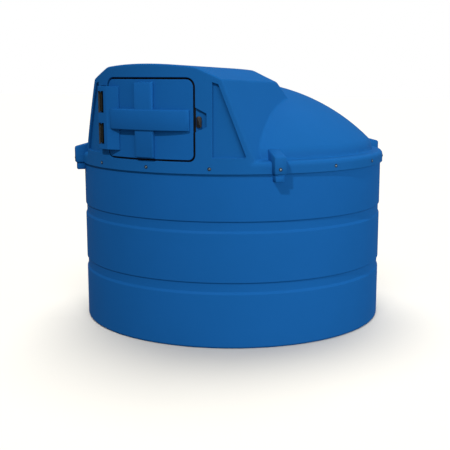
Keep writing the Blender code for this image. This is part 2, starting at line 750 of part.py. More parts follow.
def main():
    """Clear the scene and build every piece."""
    for existing in list(bpy.data.objects):
        bpy.data.objects.remove(existing, do_unlink=True)
    build_bund_wall()
    build_bund_floor()
    rebate = doorway_rebate()
    build_rim(rebate)
    build_dome()
    build_hood(rebate)
    build_cabinet_floor()
    build_seal()
    build_door()
    build_hinge()
    build_lock()
    build_screws()


main()
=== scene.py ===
"""Looks of the vertical bunded storage tank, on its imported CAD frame.

The real tank is rotational-moulded polyethylene, so the cover is one skin:
skirt, ledge, dome and cabinet hood flow into each other with soft edges.  That
skin is found here from distances to its simple forms, blended where they meet.

Metres, +Z up, the cabinet faces -Y.  Angles are degrees from the front towards +X.
"""

from math import asin, atan2, ceil, cos, degrees, hypot, pi, radians, sin, sqrt, tan

import bmesh
import bpy
import numpy as np
from mathutils import Matrix, Vector
from mathutils.geometry import delaunay_2d_cdt

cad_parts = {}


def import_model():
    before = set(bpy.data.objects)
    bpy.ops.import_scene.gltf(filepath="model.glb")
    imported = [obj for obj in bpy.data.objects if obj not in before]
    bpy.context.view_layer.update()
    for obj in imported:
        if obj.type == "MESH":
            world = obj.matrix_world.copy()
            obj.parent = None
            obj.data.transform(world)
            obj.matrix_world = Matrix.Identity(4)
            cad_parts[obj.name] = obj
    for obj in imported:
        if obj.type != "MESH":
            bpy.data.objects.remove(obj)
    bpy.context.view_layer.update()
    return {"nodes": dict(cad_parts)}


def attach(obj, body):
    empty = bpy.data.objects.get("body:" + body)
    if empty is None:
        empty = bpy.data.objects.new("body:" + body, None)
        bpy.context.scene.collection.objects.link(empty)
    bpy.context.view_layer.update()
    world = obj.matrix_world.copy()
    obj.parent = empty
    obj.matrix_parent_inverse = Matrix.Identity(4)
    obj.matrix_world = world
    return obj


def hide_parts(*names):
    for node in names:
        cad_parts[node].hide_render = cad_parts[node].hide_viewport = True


# Bund: the tub under the cover
BODY_RADIUS = 1.200
BODY_INSIDE = 1.1805
RIM_TOP = 1.3257
FLOOR_THICKNESS = 0.010
GROOVE_DEPTH = 0.009
GROOVE_TOPS = (0.919, 0.482)
GROOVE_HEIGHT = 0.0875
GROOVE_CHAMFER = 0.018
GROOVE_STEP = 0.008
FOOT_ROUND = 0.018
RIM_ROUND = 0.003
FLOOR_CORNER_ROUND = 0.012
# Roundings of a groove's section, from its upper lip down
GROOVE_ROUNDS = (0.003, 0.004, 0.010, 0.010)
TUB_SIDES = 256

# Cover: skirt, ledge and dome
SKIRT_RADIUS = 1.2164
SKIRT_BOTTOM = 1.251
LEDGE_Z = 1.338
DOME_FOOT_RADIUS = 1.129
DOME_SPHERE_RADIUS = 1.5716
DOME_SPHERE_Z = 0.306
SKIN = 0.005

# Cabinet hood: leaning sides, chamfered shoulders and a crowned roof
HOOD_EDGE = (0.5470, 1.8982)
HOOD_SIDE_LEAN = 0.337
ROOF_EDGE = (0.375, 1.9795)
ROOF_CROWN_RADIUS = 3.36
ROOF_FALL = 0.027
ROOF_FALL_FROM_Y = -1.08
HOOD_BACK = (-0.324, 1.9596)
HOOD_BACK_LEAN = 0.30
HOOD_FOOT = (-0.305, 1.897)
HOOD_FOOT_LEAN = 0.85
HOOD_WALL = 0.010
LINING_WALL = 0.004
LINING_ROUND = 0.020
HOOD_INNER_RADIUS = 1.178
CABINET_FLOOR_Z = 1.3465

# How softly the cover's forms run into each other
SHOULDER_BLEND = 0.035
DOME_FOOT_BLEND = 0.016
LONG_EDGE_BLEND = 0.008
BACK_EDGE_BLEND = 0.018
CREASE_BLEND = 0.010
RIM_BLEND = 0.040
FRONT_BLEND = 0.014
QUARTERS = (0.0, 0.25, 0.5, 0.75, 1.0)
BLEND_HEIGHTS = (1.335, 1.400)

# Where the skin's wall part and top part meet, and how finely they are made
EDGE_RADIUS = SKIRT_RADIUS - 0.0105
EDGE_STEP = 0.008
EDGE_SAMPLES = 7201
EDGE_MARGIN = 0.004
CREST_MARGIN = 0.008
BOTTOM_POINTS = 257
WALL_LIMIT_Z = 2.005
SLOPE_STEP = 0.0004
HALVINGS = 24
# A height is looked for from a drop below the ledge, a radius from the turning edge out
SEARCH_DROP = 0.06
SEARCH_RISE = 0.75
SEARCH_OUT = 0.011
# Grids of points: the widest spacing, how often it may be halved, the sag that is left
TOP_GRID = (0.075, 4, 0.0004)
WALL_GRID = (0.062, 4, 0.0002)

# Doorway, recesses and pockets in the hood's front, as outlines of (angle, z)
DOORWAY_HALF = 0.3770
DOORWAY_Z = (1.3285, 1.913)
DOORWAY_ROUND = (0.0535, 0.0685)
REBATE_DEPTH = 0.0214
REBATE_LIP = 0.023
SEAL_INSET = (0.002, 0.022)
SEAL_THICKNESS = 0.004
SEAL_STEPS = 10
TUNNEL_DEPTH = 0.046
RECESS_DEPTH = 0.020
RECESS_CORNERS = ((23.3, 1.3595), (34.75, 1.3595), (25.6, 1.865), (23.35, 1.881))
LATCH_CORNERS = ((17.6, 1.534), (21.75, 1.571), (21.75, 1.667), (17.6, 1.710))
RECESS_ROUNDS = (0.012, 0.012, 0.004, 0.004)
LATCH_ROUNDS = (0.004, 0.010, 0.010, 0.004)
LATCH_TRIM = 0.002
HINGE_POCKET_Z = (1.389, 1.851)
POCKET_HALF = 0.036
POCKET_ROUND = 0.008
RING_STEP = 0.030
ARC_STEP = 12.0
SEAT_GAP = 0.0003
SHARPEST = 0.0006

# Door
LEAF_HALF = 0.3600
LEAF_Z = (1.3455, 1.896)
LEAF_ROUND = (0.0365, 0.0515)
LEAF_THICKNESS = 0.012
LEAF_SOFTNESS = 0.004
LEAF_SUPPORT = 1.6
LEAF_BORDER = 0.010
LEAF_GRID = (30, 12)
EMBED = 0.006
UPRIGHT_HALF_ANGLE = 3.5
UPRIGHT_PROUD = 0.031
UPRIGHT_Z = (1.351, 1.884)
UPRIGHT_DRAFT = (0.004, 0.010)
UPRIGHT_EDGE = 0.006
CROSS_ANGLES = (-14.1, 16.0)
CROSS_Z = (1.542, 1.692)
CROSS_PROUD = (0.0426, 0.018)
CROSS_BEVEL = 0.012
CROSS_EDGE = 0.005
CROSS_STEPS = 24

# Hinge block on the door
PIN_ANGLE = -20.3
PIN_CIRCLE = 1.232
PIN_BORE = 0.0066
BORE_SIDES = 24
KNUCKLE_RADIUS = 0.028
BLOCK_Z = (1.395, 1.845)
BLOCK_RIDGE = (-15.6, 1.262)
BLOCK_RIGHT = (-11.4, 1.225)
BLOCK_INNER_RADIUS = 1.2224
BLOCK_EDGE = 0.003
BLOCK_SHY = 0.1
KNUCKLE_STEPS = 24
WINDOW_Z = ((1.430, 1.584), (1.656, 1.812))
WINDOW_LEFT = -0.014
WINDOW_RIGHT = 0.064
WINDOW_BACK = 0.004
LINER_THICKNESS = 0.0009
LINER_ACROSS = WINDOW_LEFT + 0.0001
LINER_OUT = (WINDOW_BACK + 0.0005, 0.0225)
BEYOND = 0.05

# Lock in the latch pocket
LOCK_OFFSET = -0.0128
LOCK_Z = 1.608
LOCK_WIDTH = 0.0364
LOCK_HEIGHT = 0.078
LOCK_DEPTH = 0.014
LOCK_CORNERS = (0.010, 0.016)
LOCK_EDGE = 0.003
LOCK_CORNER_STEPS = 8
KNOB_WIDTH = 0.014
KNOB_HEIGHT = 0.046
KNOB_DEPTH = 0.007
KNOB_CORNER = 0.0068
KNOB_EDGE = 0.002
KNOB_SEAT = 0.002

# Lugs and screws
LUG_ANGLES = (45.0, 135.0, -135.0, -45.0)
LUG_WIDTH = 0.086
LUG_RADIUS = 1.278
LUG_BOTTOM = 1.2516
LUG_TOP = 1.375
LUG_SLOPE = 0.26
LUG_BEVEL = 0.010
LUG_EDGE = 0.006
LUG_ROOT = 0.020
LOWER_LUG_WIDTH = 0.066
LOWER_LUG_RADIUS = 1.266
LOWER_LUG_BOTTOM = 1.195
LOWER_LUG_ROOT = 0.004
LUG_GAP = 0.0004
SCREW_COUNT = 16
SCREW_Z = 1.287
SCREW_SIDES = 24
# The place of a lug in each group of screws, and a place that no screw has
LUG_PLACE = 2.0
NO_PLACE = -1.0
WASHER_RADIUS = 0.013
WASHER_THICKNESS = 0.0015
WASHER_SEAT = 0.0003
WASHER_EDGE = 0.0006
WASHER_HOLE = 0.001
HEAD_RADIUS = 0.0070
HEAD_HEIGHT = 0.0034
HEAD_FOOT = 0.0006
HEAD_FOOT_CHAMFER = 0.0004
HEAD_SIDE = 0.0012
HEAD_CROWN_TURN = 75.0
HEAD_CROWN_NARROWING = 0.42
SOCKET_RADIUS = 0.0034
SOCKET_DEPTH = 0.0022

# Camera of the photograph, and the studio: 70 mm lens, tilt and turn in degrees
CAMERA_PLACE = (3.6035, -6.2291, 1.932)
CAMERA_TILT = 80.21
CAMERA_TURN = 30.05
CAMERA_LENS = 70.0
CAMERA_SHIFT = -0.01667
CAMERA_REACH = 200.0
STUDIO_FLOOR = 60.0
STUDIO_FLOOR_DROP = 0.0005
SKY_LIGHT = 0.23
# Soft lights: name, degrees from the front, degrees up, degrees wide, strength,
# seen in reflections, shadowed by the lugs
SOFT_LIGHTS = (
    ("key", 1.5, 46.0, 2.0, 1.72, True, True),
    ("fill", 60.0, 15.0, 40.0, 0.84, True, False),
    ("right", 95.0, 10.0, 50.0, 1.84, True, False),
    ("back", 205.0, 56.0, 60.0, 1.62, False, True),
)
# The paper floor has two lights of its own, which keep its shadow close round the tank
FLOOR_LIGHTS = (
    ("floor_front", 30.0, 50.0, 40.0, 1.66, False, True),
    ("floor_back", 210.0, 70.0, 40.0, 2.45, False, True),
)


def linear(code):
    """The linear colour of an sRGB hex code such as 1b60a8."""
    parts = [int(code[start:start + 2], 16) / 255.0 for start in (0, 2, 4)]
    return (*(((p + 0.055) / 1.055) ** 2.4 if p > 0.04045 else p / 12.92 for p in parts), 1.0)


# Materials


def pattern_scale(millimetres):
    """The scale that gives a pattern patches of a width in millimetres."""
    return 1000.0 / millimetres


def add_node(tree, kind, settings=None, inputs=None):
    """Add a node, set its properties, and fill or link its inputs."""
    node = tree.nodes.new(kind)
    for name, value in (settings or {}).items():
        setattr(node, name, value)
    for name, value in (inputs or {}).items():
        if isinstance(value, bpy.types.NodeSocket):
            tree.links.new(value, node.inputs[name])
        else:
            node.inputs[name].default_value = value
    return node


def new_material(name):
    """An empty node material and its tree, ready for a surface."""
    made = bpy.data.materials.new(name)
    made.use_nodes = True
    made.node_tree.nodes.clear()
    return made, made.node_tree


def finish_material(tree, shader):
    """Send the shader to the material's output."""
    add_node(tree, "ShaderNodeOutputMaterial", inputs={"Surface": shader.outputs[0]})


def moulded_polyethylene(name, main, darker, sheen_low, sheen_high):
    """Rotational-moulded polyethylene: satin, a little uneven, faintly dimpled.

    The powder melts against a cast mould, which leaves a dull satin face, waves
    of a decimetre and slow changes of tone.  The mould's dimple of 2 mm is too
    fine to show, so it is drawn three times as wide.
    """
    made, tree = new_material(name)
    place = add_node(tree, "ShaderNodeTexCoord").outputs["Object"]
    cloud = add_node(tree, "ShaderNodeTexNoise", inputs={
        "Vector": place, "Scale": pattern_scale(385.0), "Detail": 3.0, "Roughness": 0.55})
    colour = add_node(tree, "ShaderNodeMix", {"data_type": "RGBA"}, {
        "Factor": cloud.outputs["Fac"], 6: linear(darker), 7: linear(main)})
    speck = add_node(tree, "ShaderNodeTexNoise", inputs={
        "Vector": place, "Scale": pattern_scale(2.38), "Detail": 2.0})
    grain = add_node(tree, "ShaderNodeTexNoise", inputs={
        "Vector": place, "Scale": pattern_scale(6.67), "Detail": 2.5, "Roughness": 0.6})
    gloss = add_node(tree, "ShaderNodeMath", {"operation": "ADD"}, {
        0: cloud.outputs["Fac"], 1: speck.outputs["Fac"]})
    rough = add_node(tree, "ShaderNodeMapRange", inputs={
        "Value": gloss.outputs[0], "From Min": 0.6, "From Max": 1.4,
        "To Min": sheen_low, "To Max": sheen_high})
    swell = add_node(tree, "ShaderNodeTexNoise", inputs={
        "Vector": place, "Scale": pattern_scale(111.0), "Detail": 1.0})
    broad = add_node(tree, "ShaderNodeBump", inputs={
        "Height": swell.outputs["Fac"], "Strength": 0.25, "Distance": 0.004})
    bump = add_node(tree, "ShaderNodeBump", inputs={
        "Height": grain.outputs["Fac"], "Strength": 0.16, "Distance": 0.0012,
        "Normal": broad.outputs[0]})
    shader = add_node(tree, "ShaderNodeBsdfPrincipled", inputs={
        "Base Color": colour.outputs[2], "Roughness": rough.outputs[0],
        "IOR": 1.51, "Specular IOR Level": 0.01, "Normal": bump.outputs[0]})
    finish_material(tree, shader)
    return made


def sponge_rubber():
    """Cellular neoprene strip: a matt black that hides its open pores of about 1 mm."""
    made, tree = new_material("sponge_neoprene")
    place = add_node(tree, "ShaderNodeTexCoord").outputs["Object"]
    pores = add_node(tree, "ShaderNodeTexVoronoi", inputs={
        "Vector": place, "Scale": pattern_scale(1.43)})
    shade = add_node(tree, "ShaderNodeMix", {"data_type": "RGBA"}, {
        "Factor": pores.outputs["Distance"], 6: linear("0b0b0c"), 7: linear("1c1c1e")})
    bump = add_node(tree, "ShaderNodeBump", inputs={
        "Height": pores.outputs["Distance"], "Strength": 0.5, "Distance": 0.0006})
    shader = add_node(tree, "ShaderNodeBsdfPrincipled", inputs={
        "Base Color": shade.outputs[2], "Roughness": 0.9, "IOR": 1.5,
        "Specular IOR Level": 0.12, "Normal": bump.outputs[0]})
    finish_material(tree, shader)
    return made


def plated_metal(name, bright, dull, rough_low, rough_high, grain):
    """A plated or cast metal: a cloudy tone and a dull, finely grained face.

    The real grain of 0.2 mm is too fine to show, so it is drawn over 1 mm wide.
    """
    made, tree = new_material(name)
    place = add_node(tree, "ShaderNodeTexCoord").outputs["Object"]
    cloud = add_node(tree, "ShaderNodeTexNoise", inputs={
        "Vector": place, "Scale": pattern_scale(11.1), "Detail": 4.0, "Roughness": 0.65})
    colour = add_node(tree, "ShaderNodeMix", {"data_type": "RGBA"}, {
        "Factor": cloud.outputs["Fac"], 6: linear(dull), 7: linear(bright)})
    rough = add_node(tree, "ShaderNodeMapRange", inputs={
        "Value": cloud.outputs["Fac"], "From Min": 0.3, "From Max": 0.7,
        "To Min": rough_high, "To Max": rough_low})
    blast = add_node(tree, "ShaderNodeTexNoise", inputs={
        "Vector": place, "Scale": pattern_scale(grain), "Detail": 2.0})
    bump = add_node(tree, "ShaderNodeBump", inputs={
        "Height": blast.outputs["Fac"], "Strength": 0.2, "Distance": 0.0003})
    shader = add_node(tree, "ShaderNodeBsdfPrincipled", inputs={
        "Base Color": colour.outputs[2], "Roughness": rough.outputs[0],
        "Metallic": 1.0, "Normal": bump.outputs[0]})
    finish_material(tree, shader)
    return made


def studio_paper():
    """The matt white paper of the studio's floor."""
    made, tree = new_material("studio_paper")
    shader = add_node(tree, "ShaderNodeBsdfPrincipled", inputs={
        "Base Color": linear("e8e5dd"), "Roughness": 1.0, "Specular IOR Level": 0.0})
    finish_material(tree, shader)
    return made


# Distances to the cover's forms


def smooth_max(first, second, width):
    """The larger of two distances, rounded where they come within a width."""
    share = np.maximum(width - np.abs(first - second), 0.0) / width
    return np.maximum(first, second) + share * share * width / 4.0


def smooth_min(first, second, width):
    """The smaller of two distances, rounded where they come within a width."""
    return -smooth_max(-first, -second, width)


def leaning(across, z, place, lean):
    """Distance outside a face through a place, which leans inwards as it rises."""
    return (across - place[0] + lean * (z - place[1])) / hypot(1.0, lean)


def roof_height(x):
    """Height of the crowned roof at its front, at a distance from the middle."""
    crown = ROOF_CROWN_RADIUS
    return ROOF_EDGE[1] + np.sqrt(crown ** 2 - x * x) - sqrt(crown ** 2 - ROOF_EDGE[0] ** 2)


def hood_distance(x, y, z):
    """Distance outside the hood's sides, shoulders, crowned roof and back."""
    away = np.abs(x)
    fall = ROOF_FALL * (y - ROOF_FALL_FROM_Y)
    side = leaning(away, z, HOOD_EDGE, HOOD_SIDE_LEAN)
    run = HOOD_EDGE[0] - ROOF_EDGE[0]
    rise = ROOF_EDGE[1] - HOOD_EDGE[1]
    shoulder = (away - HOOD_EDGE[0]) * rise + (z + fall - HOOD_EDGE[1]) * run
    shoulder = shoulder / hypot(run, rise)
    roof = z + fall - roof_height(x)
    back = smooth_min(leaning(y, z, HOOD_BACK, HOOD_BACK_LEAN),
                      leaning(y, z, HOOD_FOOT, HOOD_FOOT_LEAN), BACK_EDGE_BLEND)
    hood = smooth_max(smooth_max(side, shoulder, LONG_EDGE_BLEND), roof, LONG_EDGE_BLEND)
    return smooth_max(hood, back, BACK_EDGE_BLEND)


def top_distance(x, y, z):
    """Distance above the ledge, the dome and the hood together."""
    radius = np.hypot(x, y)
    sphere = np.hypot(radius, z - DOME_SPHERE_Z) - DOME_SPHERE_RADIUS
    dome = smooth_max(sphere, radius - DOME_FOOT_RADIUS, SHOULDER_BLEND)
    base = smooth_min(dome, z - LEDGE_Z, DOME_FOOT_BLEND)
    return smooth_min(hood_distance(x, y, z), base, CREASE_BLEND)


def cover_distance(x, y, z):
    """Distance outside the whole cover, its round wall included."""
    share = np.clip((z - BLEND_HEIGHTS[0]) / (BLEND_HEIGHTS[1] - BLEND_HEIGHTS[0]), 0.0, 1.0)
    width = RIM_BLEND + (FRONT_BLEND - RIM_BLEND) * share
    return smooth_max(top_distance(x, y, z), np.hypot(x, y) - SKIRT_RADIUS, width)


def settle(low, high, distance):
    """Halve the stretch between low and high down to where a distance is zero."""
    for _ in range(HALVINGS):
        middle = (low + high) / 2.0
        outside = distance(middle) > 0.0
        high = np.where(outside, middle, high)
        low = np.where(outside, low, middle)
    return (low + high) / 2.0


def height_at(x, y):
    """The cover's height over a point in plan."""
    low = np.full(np.shape(x), LEDGE_Z - SEARCH_DROP)
    return settle(low, low + SEARCH_RISE, lambda z: cover_distance(x, y, z))


def radius_at(angle, z):
    """The radius of the cover's wall at an angle in radians and a height."""
    low = np.full(np.shape(z), EDGE_RADIUS)
    across, ahead = np.sin(angle), -np.cos(angle)
    return settle(low, low + SEARCH_OUT, lambda r: cover_distance(r * across, r * ahead, z))


def unit(directions):
    """The same directions, each of length one."""
    return directions / np.linalg.norm(directions, axis=1)[:, None]


def slopes(points):
    """Outward directions of the cover's skin at many points."""
    columns = []
    for shift in np.eye(3) * SLOPE_STEP:
        ahead, behind = cover_distance(*(points + shift).T), cover_distance(*(points - shift).T)
        columns.append(ahead - behind)
    return unit(np.stack(columns, axis=1))


# Meshes from points


def graded_points(surface, low, high, grid):
    """Points over a rectangle, closer together where the surface bends.

    A square is cut into quarters while its middle, or the middle of a side,
    lies further than the sag from the flat between its corners.
    """
    coarse, levels, sag = grid
    counts = [ceil((high[axis] - low[axis]) / coarse) for axis in (0, 1)]
    whole = 2 ** levels
    size = [(high[axis] - low[axis]) / counts[axis] / whole for axis in (0, 1)]
    across, up = np.meshgrid(np.arange(counts[0]) * whole, np.arange(counts[1]) * whole)
    cells = np.stack([across.ravel(), up.ravel()], axis=1)
    kept = []
    for level in range(levels + 1):
        span = whole >> level
        half = span / 2.0
        offsets = ((0, 0), (span, 0), (0, span), (span, span),
                   (half, 0), (0, half), (span, half), (half, span), (half, half))
        values = []
        for offset in offsets:
            spot = cells + np.array(offset)
            values.append(surface(low[0] + spot[:, 0] * size[0], low[1] + spot[:, 1] * size[1]))
        kept += [cells + np.array(offset) for offset in offsets[:4]]
        a, b, c, d, south, west, east, north, centre = values
        bend = np.abs(centre - (a + b + c + d) / 4.0)
        for middle, first, second in ((south, a, b), (west, a, c), (east, b, d), (north, c, d)):
            bend = np.maximum(bend, np.abs(middle - (first + second) / 2.0))
        cells = cells[bend > sag]
        if level == levels or not len(cells):
            break
        quarters = ((0, 0), (1, 0), (0, 1), (1, 1))
        cells = np.concatenate([cells + np.array(offset) * (span // 2) for offset in quarters])
    spots = np.unique(np.concatenate(kept), axis=0)
    return np.stack([low[0] + spots[:, 0] * size[0], low[1] + spots[:, 1] * size[1]], axis=1)


def inside_loop(points, loop):
    """Which points lie inside a closed outline."""
    found = np.zeros(len(points), bool)
    x, y = points[:, 0], points[:, 1]
    previous = loop[-1]
    for corner in loop:
        crosses = (corner[1] > y) != (previous[1] > y)
        rise = previous[1] - corner[1] or 1e-12
        reach = corner[0] + (y - corner[1]) * (previous[0] - corner[0]) / rise
        found ^= crosses & (x < reach)
        previous = corner
    return found


def triangulated(places, domain, holes=(), rings=()):
    """Triangles over flat places, inside one loop of indices and outside others."""
    edges = [edge for ring in rings for edge in zip(ring, ring[1:] + ring[:1])]
    loops = [list(domain)] + [list(hole) for hole in holes]
    result = delaunay_2d_cdt([Vector(place) for place in places], edges, loops, 0, 1e-7)
    faces, sources, owners = result[2], result[3], result[5]
    triangles = []
    for face, owner in zip(faces, owners):
        if 0 in owner and len(owner) == 1 and len(face) == 3:
            corners = [sources[index][0] for index in face if sources[index]]
            if len(corners) == 3:
                triangles.append(corners)
    return np.array(triangles)


def welded(points, normals, triangles):
    """Merge points that share a place."""
    _, first, index = np.unique(
        np.round(points, 6) + 0.0, axis=0, return_index=True, return_inverse=True)
    index = index.reshape(-1)
    triangles = index[triangles]
    sound = (triangles[:, 0] != triangles[:, 1]) & (triangles[:, 1] != triangles[:, 2])
    sound &= triangles[:, 0] != triangles[:, 2]
    return points[first], normals[first], triangles[sound]


def closed_skin(name, front, back, normals, triangles, material, soft_back=True):
    """A closed skin between a front, shaded by the given directions, and a back."""
    count = len(front)
    sides = triangles[:, [0, 1, 1, 2, 2, 0]].reshape(-1, 2).tolist()
    seen = dict.fromkeys(tuple(side) for side in sides)
    rim = [(a, b) for a, b in seen if (b, a) not in seen]
    faces = triangles.tolist() + (triangles[:, ::-1] + count).tolist()
    faces += [(b, a, a + count, b + count) for a, b in rim]
    mesh = bpy.data.meshes.new(name)
    mesh.from_pydata(np.concatenate([front, back]).tolist(), [], faces)
    mesh.validate()
    mesh.shade_smooth()
    shading = [normals[index] for index in triangles.ravel()]
    if soft_back:
        shading += [-normals[index] for index in triangles[:, ::-1].ravel()]
    for polygon in mesh.polygons[len(shading) // 3:]:
        shading += [polygon.normal] * polygon.loop_total
    mesh.normals_split_custom_set([tuple(direction) for direction in shading])
    mesh.materials.append(material)
    return placed(name, mesh)


def placed(name, mesh):
    """Put a finished mesh into the scene as an object at the origin."""
    piece = bpy.data.objects.new(name, mesh)
    bpy.context.scene.collection.objects.link(piece)
    return piece


# Outlines and the soft edges of what is moulded in them


def outline_ring(corners, rounding, inset):
    """Points and inward directions round an outline with rounded corners."""
    count = len(corners)
    corners = [Vector(corner) for corner in corners]
    ways = [(corners[(i + 1) % count] - corners[i]).normalized() for i in range(count)]
    places, inward = [], []
    for index, corner in enumerate(corners):
        before, after = ways[index - 1], ways[index]
        left, right = Vector((-before.y, before.x)), Vector((-after.y, after.x))
        turn = atan2(before.x * after.y - before.y * after.x, before.dot(after))
        side = 1.0 if turn > 0.0 else -1.0
        moved = corner + (left + right) / (1.0 + left.dot(right)) * inset
        radius = max(rounding[index] - side * inset, SHARPEST)
        start = moved - before * radius * tan(abs(turn) / 2.0)
        centre = start + left * radius * side
        steps = max(2, ceil(abs(turn) / radians(ARC_STEP)))
        for part in range(steps + 1):
            way = left.copy()
            way.rotate(Matrix.Rotation(turn * part / steps, 2))
            places.append(centre - way * radius * side)
            inward.append(way)
    return filled_ring(places, inward)


def filled_ring(places, inward):
    """Add points along the long straight parts of a ring."""
    full_places, full_inward = [], []
    for index, place in enumerate(places):
        following = places[(index + 1) % len(places)]
        parts = max(1, ceil((following - place).length / RING_STEP))
        way = inward[index] if parts == 1 else inward[index].copy()
        for part in range(parts):
            full_places.append(place.lerp(following, part / parts))
            full_inward.append(way)
    return np.array(full_places), np.array(full_inward)


def recess_steps(depth, lip=0.003, foot=0.003, draft=5.0, support=0.003, top=0.0):
    """Steps (inset, depth, tilt) down the soft-edged side of a recess."""
    steep = radians(90.0 - draft)
    steps = [(-support, top, 0.0)]
    for share in QUARTERS:
        tilt = steep * share
        steps.append((lip * sin(tilt), top + lip * (1.0 - cos(tilt)), tilt))
    inset = steps[-1][0]
    if not foot:
        steps.append((inset + (depth - steps[-1][1]) / tan(steep), depth, steep))
        return steps
    inset += (depth - foot * (1.0 - cos(steep)) - steps[-1][1]) / tan(steep)
    for share in QUARTERS[::-1]:
        tilt = steep * share
        across = inset + foot * (sin(steep) - sin(tilt))
        steps.append((across, depth - foot * (1.0 - cos(tilt)), tilt))
    steps.append((steps[-1][0] + support, depth, 0.0))
    return steps


def rectangle(across, up):
    """Corners of a rectangle between two distances across and two up."""
    return [(across[0], up[0]), (across[1], up[0]), (across[1], up[1]), (across[0], up[1])]


def along(angle):
    """Distance round the skirt to an angle in degrees."""
    return SKIRT_RADIUS * radians(angle)


def doorway_outline(latch=True):
    """The doorway on the unrolled wall, with the latch pocket beside it."""
    half = SKIRT_RADIUS * asin(DOORWAY_HALF / SKIRT_RADIUS)
    low, high = DOORWAY_Z
    bottom, top = DOORWAY_ROUND
    corners, rounding = [(-half, low), (half, low)], [bottom, bottom]
    if latch:
        corners.append((half, LATCH_CORNERS[0][1] + LATCH_TRIM))
        corners += [(along(angle), z) for angle, z in LATCH_CORNERS[1:3]]
        corners.append((half, LATCH_CORNERS[3][1] - LATCH_TRIM))
        rounding += LATCH_ROUNDS
    return corners + [(half, high), (-half, high)], rounding + [top, top]


def front_features():
    """What is moulded into the hood's front: (corners, rounding, steps, depth)."""
    right = [(along(angle), z) for angle, z in RECESS_CORNERS]
    left = [(-s, z) for s, z in right[::-1]]
    middle = along(PIN_ANGLE)
    half = POCKET_HALF * SKIRT_RADIUS / (PIN_CIRCLE - POCKET_HALF)
    pocket = rectangle((middle - half, middle + half), HINGE_POCKET_Z)
    features = [(*doorway_outline(), recess_steps(REBATE_DEPTH), REBATE_DEPTH)]
    for corners, rounding in ((right, RECESS_ROUNDS), (left, RECESS_ROUNDS[::-1]),
                              (pocket, (POCKET_ROUND,) * 4)):
        features.append((corners, rounding, recess_steps(RECESS_DEPTH), RECESS_DEPTH))
    return features


# The cover's skin


class UnrolledSheet:
    """Points on the unrolled wall, each with its depth, tilt and way inwards."""

    def __init__(self):
        self.parts = []
        self.count = 0

    def add(self, spots, depth=0.0, tilt=0.0, ways=0.0):
        """Add points, and return their indices."""
        count = len(spots)
        self.parts.append((spots, np.full(count, depth), np.full(count, tilt),
                           np.broadcast_to(ways, (count, 2))))
        self.count += count
        return list(range(self.count - count, self.count))

    def columns(self):
        """All the points, depths, tilts and ways."""
        return [np.concatenate(column) for column in zip(*self.parts)]


def tilted(plain, angle, tilts, ways):
    """Directions tilted from plain ones, towards ways on the unrolled wall."""
    lean = np.stack([np.cos(angle), np.sin(angle), np.zeros(len(angle))], axis=1) * ways[:, :1]
    lean[:, 2] = ways[:, 1]
    return plain * np.cos(tilts)[:, None] + lean * np.sin(tilts)[:, None]


def edge_height(angle):
    """Height of the cover at its turning edge, at angles in radians."""
    return height_at(EDGE_RADIUS * np.sin(angle), -EDGE_RADIUS * np.cos(angle))


def turning_edge():
    """Angles and heights of the line where the wall turns over into the top."""
    angle = np.linspace(-pi, pi, EDGE_SAMPLES)
    travel = np.hypot(np.diff(angle) * EDGE_RADIUS, np.diff(edge_height(angle)))
    travel = np.concatenate([[0.0], np.cumsum(travel)])
    even = np.linspace(0.0, travel[-1], int(travel[-1] / EDGE_STEP) + 1)
    angle = np.interp(even, travel, angle)
    z = edge_height(angle)
    z[-1] = z[0]
    return angle, z


def around(radius, angle, z):
    """Points at radii, angles in radians and heights."""
    return np.stack([radius * np.sin(angle), -radius * np.cos(angle), z], axis=1)


def top_part(edge_angle, edge_z):
    """Points, directions and triangles of the ledge, dome and hood from above."""
    rim = around(EDGE_RADIUS, edge_angle[:-1], edge_z[:-1])
    spots = graded_points(height_at, (-EDGE_RADIUS,) * 2, (EDGE_RADIUS,) * 2, TOP_GRID)
    spots = spots[np.hypot(spots[:, 0], spots[:, 1]) < EDGE_RADIUS - EDGE_MARGIN]
    inner = np.column_stack([spots, height_at(spots[:, 0], spots[:, 1])])
    points = np.concatenate([rim, inner])
    return points, slopes(points), triangulated(points[:, :2], range(len(rim)))


def wall_part(edge_angle, edge_z):
    """Points, directions and triangles of the skirt and the hood's front."""
    sheet = UnrolledSheet()
    bottom = np.linspace(-pi, pi, BOTTOM_POINTS) * SKIRT_RADIUS
    domain = sheet.add(np.column_stack([bottom, np.full(BOTTOM_POINTS, SKIRT_BOTTOM)]))
    edge = sheet.add(np.column_stack([edge_angle * SKIRT_RADIUS, edge_z])[::-1])
    tunnel = recess_steps(TUNNEL_DEPTH, lip=0.002, foot=0.0, draft=3.0, support=0.002, top=REBATE_DEPTH)
    tunnel = [(inset + REBATE_LIP, depth, tilt) for inset, depth, tilt in tunnel]
    constraints, zones = [], []
    for corners, rounding, steps, floor in (
            *front_features(), (*doorway_outline(latch=False), tunnel, None)):
        loops = []
        for inset, depth, tilt in steps:
            ring, ways = outline_ring(corners, rounding, inset)
            loops.append(ring)
            constraints.append(sheet.add(ring, depth, tilt, ways))
        zones.append((loops[0], loops[-1], floor))
    hole = constraints.pop()
    sheet.add(*wall_spots(zones))
    flat, depths, tilts, ways = sheet.columns()
    triangles = triangulated(flat, domain + edge, [hole], constraints)
    angle, z = flat[:, 0] / SKIRT_RADIUS, flat[:, 1]
    radius = radius_at(angle, z)
    radius[edge] = EDGE_RADIUS
    normals = tilted(slopes(around(radius, angle, z)), angle, tilts, ways)
    flat_floor = (depths > 0.0) & (tilts == 0.0)
    normals[flat_floor] = around(1.0, angle, 0.0 * angle)[flat_floor]
    return around(radius - depths, angle, z), unit(normals), triangles


